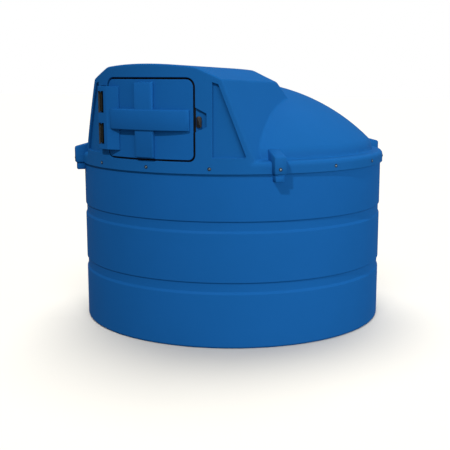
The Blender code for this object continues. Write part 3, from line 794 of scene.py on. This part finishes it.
def wall_spots(zones):
    """Free points on the unrolled wall, with how deep each one lies."""
    limit = pi * SKIRT_RADIUS
    spots = graded_points(lambda s, z: radius_at(s / SKIRT_RADIUS, z),
                          (-limit, SKIRT_BOTTOM), (limit, WALL_LIMIT_Z), WALL_GRID)
    angle, z = spots[:, 0] / SKIRT_RADIUS, spots[:, 1]
    over = top_distance(EDGE_RADIUS * np.sin(angle), -EDGE_RADIUS * np.cos(angle), z)
    inside = (np.abs(spots[:, 0]) <= limit - EDGE_MARGIN) & (z >= SKIRT_BOTTOM + EDGE_MARGIN)
    spots = spots[inside & (over < -CREST_MARGIN)]
    depths = np.zeros(len(spots))
    wanted = np.ones(len(spots), bool)
    for outer, inner, depth in zones:
        within = inside_loop(spots, outer)
        if depth is None:
            wanted &= ~within
            continue
        floor = inside_loop(spots, inner)
        wanted &= ~within | floor
        depths[floor] = depth
    return spots[wanted], depths[wanted]


def build_cover(material):
    """The moulded cover: skirt, ledge, dome and hood in one skin."""
    edge = turning_edge()
    top, wall = top_part(*edge), wall_part(*edge)
    points, normals = np.concatenate([top[0], wall[0]]), np.concatenate([top[1], wall[1]])
    triangles = np.concatenate([top[2], wall[2] + len(top[0])])
    points, normals, triangles = welded(points, normals, triangles)
    inside = points - normals * SKIN
    cover = closed_skin("moulded_cover", points, inside, normals, triangles, material)
    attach(cover, "tank")
    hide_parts("cover_rim", "cover_dome", "cabinet_hood")


# Simpler closed pieces


def mesh_of(name, work):
    """A mesh from a closed bmesh, with its faces turned outwards."""
    bmesh.ops.recalc_face_normals(work, faces=work.faces)
    mesh = bpy.data.meshes.new(name)
    work.to_mesh(mesh)
    work.free()
    return mesh


def mesh_piece(name, work, material, bevel=0.0, angle=30.0, cutters=()):
    """Finish a bmesh as a plain mesh, after its rounded edges and its cuts."""
    raw = placed(name + "_raw", mesh_of(name + "_raw", work))
    if bevel:
        edge = raw.modifiers.new("edge", "BEVEL")
        edge.width = bevel
        edge.segments = 3
        edge.limit_method = "ANGLE"
        edge.angle_limit = radians(angle)
        edge.harden_normals = True
    for cutter in cutters:
        cut = raw.modifiers.new("cut", "BOOLEAN")
        cut.operation = "DIFFERENCE"
        cut.solver = "EXACT"
        cut.object = cutter
    finished = apply_modifiers(raw)
    finished.shade_smooth()
    if cutters or not bevel:
        finished.set_sharp_from_angle(angle=radians(angle))
    if cutters:
        flat = raw.modifiers.new("flat", "WEIGHTED_NORMAL")
        flat.keep_sharp = True
        finished = apply_modifiers(raw)
    for spent in (raw, *cutters):
        bpy.data.objects.remove(spent)
    finished.name = name
    finished.materials.clear()
    finished.materials.append(material)
    return placed(name, finished)


def apply_modifiers(piece):
    """Make the piece's modifiers part of its plain mesh."""
    evaluated = piece.evaluated_get(bpy.context.evaluated_depsgraph_get())
    finished = bpy.data.meshes.new_from_object(evaluated)
    piece.modifiers.clear()
    piece.data = finished
    return finished


def bridge(work, rings):
    """Faces from each ring of vertices to the next; a ring may be one point."""
    for first, second in zip(rings, rings[1:]):
        count = max(len(first), len(second))
        for index in range(count):
            following = (index + 1) % count
            corners = (first[index % len(first)], first[following % len(first)],
                       second[following % len(second)], second[index % len(second)])
            work.faces.new(list(dict.fromkeys(corners)))


def stacked(rows):
    """Join a row of equal sections into one closed solid."""
    work = bmesh.new()
    rings = [[work.verts.new(point) for point in row] for row in rows]
    work.faces.new(rings[0])
    work.faces.new(rings[-1][::-1])
    bridge(work, rings)
    return work


def circle(radius, sides):
    """Places round a circle, as (across, along)."""
    turns = [2.0 * pi * step / sides for step in range(sides)]
    return [(radius * cos(turn), radius * sin(turn)) for turn in turns]


def turned(path):
    """Turn a path of (radius, z), from axis to axis, about the Z axis."""
    work = bmesh.new()
    rings = []
    for radius, z in path:
        places = circle(radius, TUB_SIDES) if radius else [(0.0, 0.0)]
        rings.append([work.verts.new((y, -x, z)) for x, y in places])
    bridge(work, rings)
    return work


def rounded_path(corners):
    """A path of (radius, z) from corners (radius, z, rounding)."""
    path, steps = [], 5
    for index, (radius, z, rounding) in enumerate(corners):
        here = Vector((radius, z))
        if not rounding:
            path.append((radius, z))
            continue
        before = Vector(corners[index - 1][:2]) - here
        after = Vector(corners[index + 1][:2]) - here
        half = before.angle(after) / 2.0
        reach = min(rounding / tan(half), before.length * 0.48, after.length * 0.48)
        rounding = reach * tan(half)
        before, after = before.normalized(), after.normalized()
        centre = here + (before + after).normalized() * rounding / sin(half)
        first = here + before * reach - centre
        turn = first.angle_signed(here + after * reach - centre)
        for part in range(steps + 1):
            way = first.copy()
            way.rotate(Matrix.Rotation(-turn * part / steps, 2))
            path.append(tuple(centre + way))
    return path


def build_bund(material):
    """The tub: two soft-edged grooves, a rounded foot and a flat floor."""
    corners = [(0.0, FLOOR_THICKNESS, 0.0), (BODY_INSIDE, FLOOR_THICKNESS, FLOOR_CORNER_ROUND),
               (BODY_INSIDE, RIM_TOP, RIM_ROUND), (BODY_RADIUS, RIM_TOP, RIM_ROUND)]
    groove = BODY_RADIUS - GROOVE_DEPTH
    for top in GROOVE_TOPS:
        low = top - GROOVE_HEIGHT
        section = ((BODY_RADIUS, top), (groove, top - GROOVE_STEP),
                   (groove, low + GROOVE_CHAMFER), (BODY_RADIUS, low))
        corners += [(*place, rounding) for place, rounding in zip(section, GROOVE_ROUNDS)]
    corners += [(BODY_RADIUS, 0.0, FOOT_ROUND), (0.0, 0.0, 0.0)]
    bund = mesh_piece("moulded_bund", turned(rounded_path(corners)), material, angle=50.0)
    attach(bund, "tank")
    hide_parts("bund_wall_front", "bund_wall_back", "bund_floor")


def polar(radius, angle, z):
    """A point at a radius and an angle in degrees from the front."""
    return Vector((radius * sin(radians(angle)), -radius * cos(radians(angle)), z))


def lug_rows(angle, width, section):
    """The two ends of a lug with the given (radius, z) section."""
    turn = Matrix.Rotation(radians(angle), 3, "Z")
    return [[turn @ Vector((side * width / 2, -radius, z)) for radius, z in section]
            for side in (-1.0, 1.0)]


def merged(works):
    """Several bmeshes as one."""
    whole = bmesh.new()
    for work in works:
        mesh = bpy.data.meshes.new("part")
        work.to_mesh(mesh)
        work.free()
        whole.from_mesh(mesh)
        bpy.data.meshes.remove(mesh)
    return whole


def build_lugs(cover_material, bund_material):
    """The clamp lugs: upper ones on the cover, lower ones on the bund."""
    inner = DOME_FOOT_RADIUS - LUG_ROOT
    rise = LUG_TOP + LUG_SLOPE * (LUG_RADIUS - LUG_BEVEL - inner)
    upper = ((inner, LUG_BOTTOM), (LUG_RADIUS, LUG_BOTTOM), (LUG_RADIUS, LUG_TOP - LUG_BEVEL),
             (LUG_RADIUS - LUG_BEVEL, LUG_TOP), (inner, rise))
    base, top = BODY_RADIUS - LOWER_LUG_ROOT, SKIRT_BOTTOM - LUG_GAP
    lower = ((base, LOWER_LUG_BOTTOM), (LOWER_LUG_RADIUS, LOWER_LUG_BOTTOM),
             (LOWER_LUG_RADIUS, top), (base, top))
    kinds = (("cover_lugs", upper, LUG_WIDTH, cover_material, "cover_polyethylene"),
             ("bund_lugs", lower, LOWER_LUG_WIDTH, bund_material, "tank_polyethylene"))
    for name, section, width, material, slot in kinds:
        works = [stacked(lug_rows(angle, width, section)) for angle in LUG_ANGLES]
        lugs = mesh_piece(name, merged(works), material, bevel=LUG_EDGE)
        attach(lugs, "tank")


def build_cabinet_lining(material):
    """The hood's inner face: leaning sides, shoulders, roof and back."""
    low = HOOD_EDGE[0] + HOOD_SIDE_LEAN * (HOOD_EDGE[1] - CABINET_FLOOR_Z) - HOOD_WALL
    spots = [(low, CABINET_FLOOR_Z), (HOOD_EDGE[0] - HOOD_WALL, HOOD_EDGE[1] - 0.5 * HOOD_WALL)]
    for share in QUARTERS:
        x = ROOF_EDGE[0] * (1.0 - share)
        spots.append((x, roof_height(x) - HOOD_WALL))
    spots += [(-x, z) for x, z in spots[-2::-1]]
    work = bmesh.new()
    rows = []
    for x, z in spots:
        front = -sqrt(HOOD_INNER_RADIUS ** 2 - x * x)
        back = HOOD_BACK[0] - HOOD_WALL - HOOD_BACK_LEAN * (z - HOOD_BACK[1])
        fall = ROOF_FALL if z > HOOD_EDGE[1] - HOOD_WALL else 0.0
        ys = [front + (back - front) * share for share in QUARTERS]
        rows.append([work.verts.new((x, y, z - fall * (y - ROOF_FALL_FROM_Y))) for y in ys])
    for first, second in zip(rows, rows[1:]):
        for step in range(len(QUARTERS) - 1):
            work.faces.new((first[step], first[step + 1], second[step + 1], second[step]))
    work.faces.new([row[-1] for row in rows])
    lining = mesh_piece("cabinet_lining", work, material, bevel=LINING_ROUND)
    wall = lining.modifiers.new("wall", "SOLIDIFY")
    wall.thickness = LINING_WALL
    apply_modifiers(lining)
    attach(lining, "tank")


# The door


def build_door_leaf(material):
    """The curved leaf, with a soft edge all round."""
    half = SKIRT_RADIUS * asin(LEAF_HALF / SKIRT_RADIUS)
    corners = rectangle((-half, half), LEAF_Z)
    rounding = (LEAF_ROUND[0], LEAF_ROUND[0], LEAF_ROUND[1], LEAF_ROUND[1])
    soft = LEAF_SOFTNESS
    sheet, loops = UnrolledSheet(), []
    for share in QUARTERS:
        turn = radians(90.0) * share
        ring, ways = outline_ring(corners, rounding, soft * (1.0 - cos(turn)))
        loops.append(sheet.add(ring, soft * (1.0 - sin(turn)), radians(90.0) - turn, ways))
    ring, ways = outline_ring(corners, rounding, soft * LEAF_SUPPORT)
    loops.append(sheet.add(ring))
    across, up = np.meshgrid(np.linspace(-half, half, LEAF_GRID[0])[1:-1],
                             np.linspace(*LEAF_Z, LEAF_GRID[1])[1:-1])
    free = np.column_stack([across.ravel(), up.ravel()])
    sheet.add(free[inside_loop(free, outline_ring(corners, rounding, LEAF_BORDER)[0])])
    flat, depths, tilts, ways = sheet.columns()
    triangles = triangulated(flat, loops[0], (), loops[1:])
    angle, z = flat[:, 0] / SKIRT_RADIUS, flat[:, 1]
    front = around(SKIRT_RADIUS - depths, angle, z)
    back = around(SKIRT_RADIUS - LEAF_THICKNESS, angle, z)
    normals = tilted(around(1.0, angle, 0.0 * angle), angle, -tilts, ways)
    return closed_skin("door_leaf", front, back, normals, triangles, material, soft_back=False)


def upright_band_rows():
    """Sections of the band up the middle of the door."""
    inside, outer = SKIRT_RADIUS - EMBED, SKIRT_RADIUS + UPRIGHT_PROUD
    low, high = UPRIGHT_Z
    section = ((inside, low), (outer, low + UPRIGHT_DRAFT[0]),
               (outer, high - UPRIGHT_DRAFT[1]), (inside, high))
    return [[polar(radius, UPRIGHT_HALF_ANGLE * step / 3.0, z) for radius, z in section]
            for step in range(-3, 4)]


def cross_band_rows():
    """Sections of the band across the door, proudest in the middle."""
    first, last = CROSS_ANGLES
    low, high = CROSS_Z
    inside = SKIRT_RADIUS - EMBED
    rows = []
    for step in range(CROSS_STEPS + 1):
        angle = first + (last - first) * step / CROSS_STEPS
        share = max(angle, 0.0) / last
        outer = SKIRT_RADIUS + CROSS_PROUD[0] + (CROSS_PROUD[1] - CROSS_PROUD[0]) * share ** 2
        section = ((inside, low), (outer, low + CROSS_BEVEL / 3.0), (outer, high - CROSS_BEVEL),
                   (outer - CROSS_BEVEL, high), (inside, high))
        rows.append([polar(radius, angle, z) for radius, z in section])
    return rows


def hinge_point(across, outward, z=0.0):
    """A point by its distances from the pin, across and outwards, and its height."""
    turn = radians(PIN_ANGLE)
    offset = Vector((cos(turn), sin(turn), 0.0)) * across
    return polar(PIN_CIRCLE, PIN_ANGLE, z) + offset + Vector((sin(turn), -cos(turn), 0.0)) * outward


def hinge_prism(across, outward, heights):
    """Rows of a prism square to the pin, by its reach across, outwards and up."""
    return [[hinge_point(*place, z) for place in rectangle(across, outward)] for z in heights]


def hinge_block_outline():
    """The hinge block in plan: leaf, ridge and round knuckle."""
    inside = SKIRT_RADIUS - EMBED
    edge = degrees(asin(-LEAF_HALF / SKIRT_RADIUS)) + BLOCK_SHY
    outline = [polar(inside, BLOCK_RIGHT[0], 0.0), polar(BLOCK_RIGHT[1], BLOCK_RIGHT[0], 0.0),
               polar(BLOCK_RIDGE[1], BLOCK_RIDGE[0], 0.0)]
    stop = 360.0 - degrees(asin((PIN_CIRCLE - BLOCK_INNER_RADIUS) / KNUCKLE_RADIUS))
    for step in range(KNUCKLE_STEPS + 1):
        turn = radians(90.0 + (stop - 90.0) * step / KNUCKLE_STEPS)
        outline.append(hinge_point(KNUCKLE_RADIUS * cos(turn), KNUCKLE_RADIUS * sin(turn)))
    return outline + [polar(BLOCK_INNER_RADIUS, edge, 0.0), polar(inside, edge, 0.0)]


def cutter(name, rows):
    """A hidden solid for a cut."""
    return placed(name, mesh_of(name, stacked(rows)))


def build_hinge_block(material):
    """The block that swings on the pin, with its two windows."""
    rows = [[point + Vector((0.0, 0.0, z)) for point in hinge_block_outline()] for z in BLOCK_Z]
    beyond = (-BEYOND, BEYOND)
    cutters = []
    for heights in WINDOW_Z:
        cutters.append(cutter("window", hinge_prism((WINDOW_LEFT, WINDOW_RIGHT), beyond, heights)))
        behind = hinge_prism((-BEYOND, WINDOW_RIGHT), (-BEYOND, WINDOW_BACK), heights)
        cutters.append(cutter("window_back", behind))
    ring = [Vector((x, y, 0.0)) for x, y in circle(PIN_BORE, BORE_SIDES)]
    ends = [polar(PIN_CIRCLE, PIN_ANGLE, z) for z in (BLOCK_Z[0] - BEYOND, BLOCK_Z[1] + BEYOND)]
    cutters.append(cutter("bore", [[end + place for place in ring] for end in ends]))
    return mesh_piece("door_hinge_block", stacked(rows), material, BLOCK_EDGE, 35.0, cutters)


def build_window_liners(material):
    """The thin steel strap that lines each window beside the pin, its paler steel painted light."""
    across = (LINER_ACROSS, LINER_ACROSS + LINER_THICKNESS)
    works = [stacked(hinge_prism(across, LINER_OUT, heights)) for heights in WINDOW_Z]
    liners = mesh_piece("hinge_window_liners", merged(works), material)
    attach(liners, "door")


def build_seal(material):
    """The sponge strip round the doorway: a low D on the rebate's floor."""
    corners, rounding = doorway_outline(latch=False)
    places, inward = outline_ring(corners, rounding, SEAL_INSET[0])
    half = (SEAL_INSET[1] - SEAL_INSET[0]) / 2.0
    floor = SKIRT_RADIUS - REBATE_DEPTH + SEAT_GAP
    work = bmesh.new()
    rings = []
    for step in range(SEAL_STEPS + 1):
        turn = pi * step / SEAL_STEPS
        flat = places + inward * half * (1.0 - cos(turn))
        ring = around(floor + SEAL_THICKNESS * sin(turn), flat[:, 0] / SKIRT_RADIUS, flat[:, 1])
        rings.append([work.verts.new(point) for point in ring])
    bridge(work, rings + rings[:1])
    seal = mesh_piece("doorway_seal_strip", work, material)
    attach(seal, "tank")
    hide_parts("door_seal")


def build_door(material):
    """Leaf, bands and hinge block, all on the door's body."""
    leaf = build_door_leaf(material)
    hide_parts("cabinet_door")
    upright = mesh_piece("door_upright_band", stacked(upright_band_rows()), material, UPRIGHT_EDGE)
    cross = mesh_piece("door_cross_band", stacked(cross_band_rows()), material, CROSS_EDGE)
    block = build_hinge_block(material)
    for piece in (leaf, upright, cross, block):
        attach(piece, "door")


# Lock and screws


def lock_place(x, out, z):
    """A point on the lock: across, out from the pocket's flat floor, and up."""
    middle = radians((LATCH_CORNERS[0][0] + LATCH_CORNERS[1][0]) / 2.0)
    half = radians(LATCH_CORNERS[1][0]) - middle
    floor = (SKIRT_RADIUS - RECESS_DEPTH) * cos(half) + SEAT_GAP
    turn = Matrix.Rotation(middle, 3, "Z")
    return turn @ Vector((LOCK_OFFSET + x, -floor - out, LOCK_Z + z))


def upright_plate(width, height, corners, outs):
    """A rounded plate upright on the lock's middle, between two distances out."""
    wide, tall = width / 2.0, height / 2.0
    low, high = corners
    shape = []
    for x, z, radius, start in (
            (wide - low, low - tall, low, -90.0), (wide - high, tall - high, high, 0.0),
            (high - wide, tall - high, high, 90.0), (low - wide, low - tall, low, 180.0)):
        for share in range(LOCK_CORNER_STEPS + 1):
            way = radians(start + 90.0 * share / LOCK_CORNER_STEPS)
            shape.append((x + radius * cos(way), z + radius * sin(way)))
    return stacked([[lock_place(x, out, z) for x, z in shape] for out in outs])


def build_lock(case_material, knob_material):
    """The lock's case, and the upright knob with a rounded edge that turns it."""
    case = upright_plate(LOCK_WIDTH, LOCK_HEIGHT, LOCK_CORNERS, (0.0, LOCK_DEPTH))
    body = mesh_piece("lock_case", case, case_material, LOCK_EDGE)
    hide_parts("lock_body")
    outs = (LOCK_DEPTH - KNOB_SEAT, LOCK_DEPTH + KNOB_DEPTH)
    grip = upright_plate(KNOB_WIDTH, KNOB_HEIGHT, (KNOB_CORNER, KNOB_CORNER), outs)
    knob = mesh_piece("knob_grip", grip, knob_material, KNOB_EDGE)
    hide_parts("lock_knob")
    for piece in (body, knob):
        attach(piece, "tank")


def screw_loops():
    """A low round head with a hexagon socket, as loops of (radius, out, hexagon)."""
    last, side = radians(HEAD_CROWN_TURN), WASHER_THICKNESS + HEAD_SIDE
    loops = [(HEAD_RADIUS - HEAD_FOOT_CHAMFER, HEAD_FOOT, False),
             (HEAD_RADIUS, WASHER_THICKNESS + HEAD_FOOT, False)]
    for share in (0.0, 0.2, 0.4, 0.6, 0.8, 1.0):
        turn = last * share
        radius = HEAD_RADIUS * (1.0 - HEAD_CROWN_NARROWING * (1.0 - cos(turn)))
        loops.append((radius, side + (HEAD_HEIGHT - HEAD_SIDE) * sin(turn) / sin(last), False))
    top = WASHER_THICKNESS + HEAD_HEIGHT
    return loops + [(SOCKET_RADIUS, top, True), (SOCKET_RADIUS, top - SOCKET_DEPTH, True)]


def washer_loops():
    """A flat ring with a chamfered rim, as loops of (radius, out, hexagon)."""
    hole, rim = HEAD_RADIUS - WASHER_HOLE, WASHER_RADIUS - WASHER_EDGE
    section = ((hole, WASHER_SEAT), (WASHER_RADIUS, WASHER_SEAT),
               (WASHER_RADIUS, WASHER_THICKNESS - WASHER_EDGE),
               (rim, WASHER_THICKNESS), (hole, WASHER_THICKNESS))
    return [(radius, out, False) for radius, out in section]


def fastener_source(name, loops, hollow):
    """One fastener, pointing along +X: a hollow ring, or closed at both ends."""
    work = bmesh.new()
    rings = []
    for radius, out, hexagon in loops:
        ring = []
        for x, y in circle(1.0, SCREW_SIDES):
            flat = (atan2(y, x) + pi / 6.0) % (pi / 3.0) - pi / 6.0
            reach = radius / cos(flat) if hexagon else radius
            ring.append(work.verts.new((out, reach * x, reach * y)))
        rings.append(ring)
    if hollow:
        rings.append(rings[0])
    else:
        work.faces.new(rings[0])
        work.faces.new(rings[-1])
    bridge(work, rings)
    mesh = mesh_of(name, work)
    mesh.shade_smooth()
    mesh.set_sharp_from_angle(angle=radians(40.0))
    return placed(name, mesh)


def ring_tree(name, material):
    """Geometry Nodes: a source set round a circle, facing outwards.

    Of each group of copies, the one numbered Left Out isn't made.
    """
    tree = bpy.data.node_groups.new(name, "GeometryNodeTree")
    sockets = (("Source", "Object"), ("Count", "Int"), ("Radius", "Float"), ("Height", "Float"),
               ("First Angle", "Float"), ("Group", "Int"), ("Left Out", "Float"))
    for label, kind in sockets:
        tree.interface.new_socket(label, in_out="INPUT", socket_type="NodeSocket" + kind)
    tree.interface.new_socket("Geometry", in_out="OUTPUT", socket_type="NodeSocketGeometry")
    given = add_node(tree, "NodeGroupInput").outputs
    points = add_node(tree, "GeometryNodePoints", inputs={"Count": given["Count"]})
    index = add_node(tree, "GeometryNodeInputIndex").outputs[0]
    step = add_node(tree, "ShaderNodeMath", {"operation": "DIVIDE"}, {0: 2.0 * pi, 1: given["Count"]})
    turn = add_node(tree, "ShaderNodeMath", {"operation": "MULTIPLY_ADD"}, {
        0: index, 1: step.outputs[0], 2: given["First Angle"]})
    place = add_node(tree, "ShaderNodeCombineXYZ", inputs={"Z": given["Height"]})
    for axis, wave in (("X", "COSINE"), ("Y", "SINE")):
        share = add_node(tree, "ShaderNodeMath", {"operation": wave}, {0: turn.outputs[0]})
        reach = add_node(tree, "ShaderNodeMath", {"operation": "MULTIPLY"}, {
            0: share.outputs[0], 1: given["Radius"]})
        tree.links.new(reach.outputs[0], place.inputs[axis])
    facing = add_node(tree, "ShaderNodeCombineXYZ", inputs={"Z": turn.outputs[0]})
    moved = add_node(tree, "GeometryNodeSetPosition", inputs={
        "Geometry": points.outputs[0], "Position": place.outputs[0]})
    order = add_node(tree, "ShaderNodeMath", {"operation": "MODULO"}, {
        0: index, 1: given["Group"]})
    kept = add_node(tree, "FunctionNodeCompare", {"data_type": "FLOAT", "operation": "NOT_EQUAL"}, {
        "A": order.outputs[0], "B": given["Left Out"], "Epsilon": 0.1})
    source = add_node(tree, "GeometryNodeObjectInfo", inputs={"Object": given["Source"]})
    copies = add_node(tree, "GeometryNodeInstanceOnPoints", inputs={
        "Points": moved.outputs[0], "Selection": kept.outputs[0],
        "Instance": source.outputs["Geometry"], "Rotation": facing.outputs[0]})
    real = add_node(tree, "GeometryNodeRealizeInstances", inputs={"Geometry": copies.outputs[0]})
    coated = add_node(tree, "GeometryNodeSetMaterial", inputs={
        "Geometry": real.outputs[0], "Material": material})
    add_node(tree, "NodeGroupOutput", inputs={"Geometry": coated.outputs[0]})
    return tree


def fastener_ring(name, tree, values):
    """The fasteners round one circle as a plain mesh."""
    carrier = placed(name, bpy.data.meshes.new(name))
    modifier = carrier.modifiers.new("ring", "NODES")
    modifier.node_group = tree
    for item in tree.interface.items_tree:
        if item.in_out == "INPUT":
            modifier[item.identifier] = values[item.name]
    apply_modifiers(carrier)
    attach(carrier, "tank")
    return carrier


def build_screws(frame, zinc, dark):
    """Rim screws between the lugs and one in each lug, each on its sealing washer."""
    makes = (("screws", fastener_source("screw", screw_loops(), False), zinc),
             ("washers", fastener_source("washer", washer_loops(), True), dark))
    for label, source, material in makes:
        tree = ring_tree(label + "_round_a_circle", material)
        rim = fastener_ring("rim_" + label, tree, {
            "Source": source, "Count": SCREW_COUNT, "Radius": SKIRT_RADIUS, "Height": SCREW_Z,
            "First Angle": 0.0, "Group": SCREW_COUNT // len(LUG_ANGLES), "Left Out": LUG_PLACE})
        lugs = fastener_ring("lug_" + label, tree, {
            "Source": source, "Count": len(LUG_ANGLES), "Radius": LUG_RADIUS, "Height": SCREW_Z,
            "First Angle": radians(LUG_ANGLES[0]), "Group": len(LUG_ANGLES), "Left Out": NO_PLACE})
        if label == "screws":
            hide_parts(*(name for name in frame["nodes"] if name.startswith("rim_screw")))
            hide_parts(*(name for name in frame["nodes"] if name.startswith("lug_screw")))
        bpy.data.objects.remove(source)


# The studio


def build_studio():
    """A white paper floor, soft light and the photograph's camera.

    The floor stays out of reflections and bounced light, so that the blue keeps
    the depth that it has in the photograph.
    """
    work = bmesh.new()
    bmesh.ops.create_grid(work, x_segments=1, y_segments=1, size=STUDIO_FLOOR)
    mesh = bpy.data.meshes.new("studio_floor")
    work.to_mesh(mesh)
    work.free()
    mesh.materials.append(studio_paper())
    floor = placed("studio_floor", mesh)
    floor.location.z = -STUDIO_FLOOR_DROP
    floor.visible_glossy = False
    floor.visible_diffuse = False
    world = bpy.data.worlds.new("studio")
    bpy.context.scene.world = world
    world.use_nodes = True
    tree = world.node_tree
    tree.nodes.clear()
    seen = add_node(tree, "ShaderNodeLightPath").outputs["Is Camera Ray"]
    strength = add_node(tree, "ShaderNodeMapRange", inputs={
        "Value": seen, "To Min": SKY_LIGHT, "To Max": 1.0})
    sky = add_node(tree, "ShaderNodeBackground", inputs={
        "Color": (1.0, 1.0, 1.0, 1.0), "Strength": strength.outputs[0]})
    add_node(tree, "ShaderNodeOutputWorld", inputs={"Surface": sky.outputs[0]})
    for light in SOFT_LIGHTS:
        aimed_at(soft_light(*light), floor, "EXCLUDE")
    for light in FLOOR_LIGHTS:
        aimed_at(soft_light(*light), floor, "INCLUDE")
    camera = bpy.data.cameras.new("camera")
    camera.lens = CAMERA_LENS
    camera.shift_x = CAMERA_SHIFT
    camera.clip_end = CAMERA_REACH
    viewer = bpy.data.objects.new("camera", camera)
    viewer.location = CAMERA_PLACE
    viewer.rotation_euler = (radians(CAMERA_TILT), 0.0, radians(CAMERA_TURN))
    bpy.context.scene.collection.objects.link(viewer)
    bpy.context.scene.camera = viewer
    bpy.context.scene.view_settings.view_transform = "Standard"


def soft_light(name, azimuth, elevation, width, strength, reflected, shadowed):
    """A wide, even light from an angle round from the front."""
    light = bpy.data.lights.new(name, "SUN")
    light.angle = radians(width)
    light.energy = strength
    holder = bpy.data.objects.new(name, light)
    way = polar(cos(radians(elevation)), azimuth, sin(radians(elevation)))
    holder.rotation_euler = way.to_track_quat("Z", "Y").to_euler()
    holder.visible_glossy = reflected
    if not shadowed:
        passed = bpy.data.collections.new(name + "_passes")
        for label in ("cover_lugs", "bund_lugs"):
            passed.objects.link(bpy.data.objects[label])
        for item in passed.collection_objects:
            item.light_linking.link_state = "EXCLUDE"
        holder.light_linking.blocker_collection = passed
    bpy.context.scene.collection.objects.link(holder)
    return holder


def aimed_at(light, floor, state):
    """Keep a light off the floor, or on nothing but the floor."""
    lit = bpy.data.collections.new(light.name + "_aim")
    lit.objects.link(floor)
    lit.collection_objects[0].light_linking.link_state = state
    light.light_linking.receiver_collection = lit


def main():
    """Load the frame, dress every node and light the scene."""
    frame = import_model()
    # Polyethylene straight from the mould: a deep satin blue, duller inside the cabinet
    cover = moulded_polyethylene("cover_polyethylene_satin", "195ea1", "175a99", 0.44, 0.54)
    tub = moulded_polyethylene("tub_polyethylene_satin", "185ea4", "165a9c", 0.44, 0.54)
    door = moulded_polyethylene("door_polyethylene_satin", "185ea4", "165a9c", 0.44, 0.54)
    inner = moulded_polyethylene("inner_polyethylene_matt", "185ea4", "165a9c", 0.58, 0.72)
    # Zinc plate dulled by weather: small pale heads, each in the dark ring of a dark sealing washer
    # whose blue-grey is partly painted shade round the head
    zinc = plated_metal("dulled_zinc_plate", "9aabb8", "6f7d88", 0.30, 0.46, 1.11)
    washer = plated_metal("blackened_sealing_washer", "3b4854", "2c3640", 0.50, 0.66, 1.43)
    # Passivated olive hinge steel as shaded and lit copies: painted shade darkens it on the brackets,
    # painted light makes it paler on the strap; the pin is dark steel, darkened further with painted
    # shade
    olive = plated_metal("olive_passivated_steel", "403f36", "2e2d27", 0.40, 0.60, 1.43)
    strap = plated_metal("scuffed_hinge_strap_steel", "979892", "7c7d76", 0.45, 0.62, 1.43)
    pin = plated_metal("oiled_hinge_pin_steel", "29302f", "1d2323", 0.34, 0.50, 1.43)
    # Zinc die casting under a bronze lacquer: a warm dark case, greyer on the knob where hands turn it
    bronze = plated_metal("bronzed_die_casting", "474543", "322f2e", 0.40, 0.58, 1.25)
    worn = plated_metal("worn_die_casting", "464749", "343537", 0.30, 0.48, 1.25)
    rubber = sponge_rubber()
    build_cover(cover)
    build_bund(tub)
    build_lugs(cover, tub)
    build_cabinet_lining(inner)
    build_seal(rubber)
    build_door(door)
    build_window_liners(strap)
    build_lock(bronze, worn)
    build_screws(frame, zinc, washer)
    coats = {"cabinet_floor": inner, "hinge_pin": pin,
             "hinge_bracket_lower": olive, "hinge_bracket_upper": olive}
    for name, coat in coats.items():
        node = frame["nodes"][name]
        for slot in node.material_slots:
            slot.material = coat
    build_studio()
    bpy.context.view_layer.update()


main()
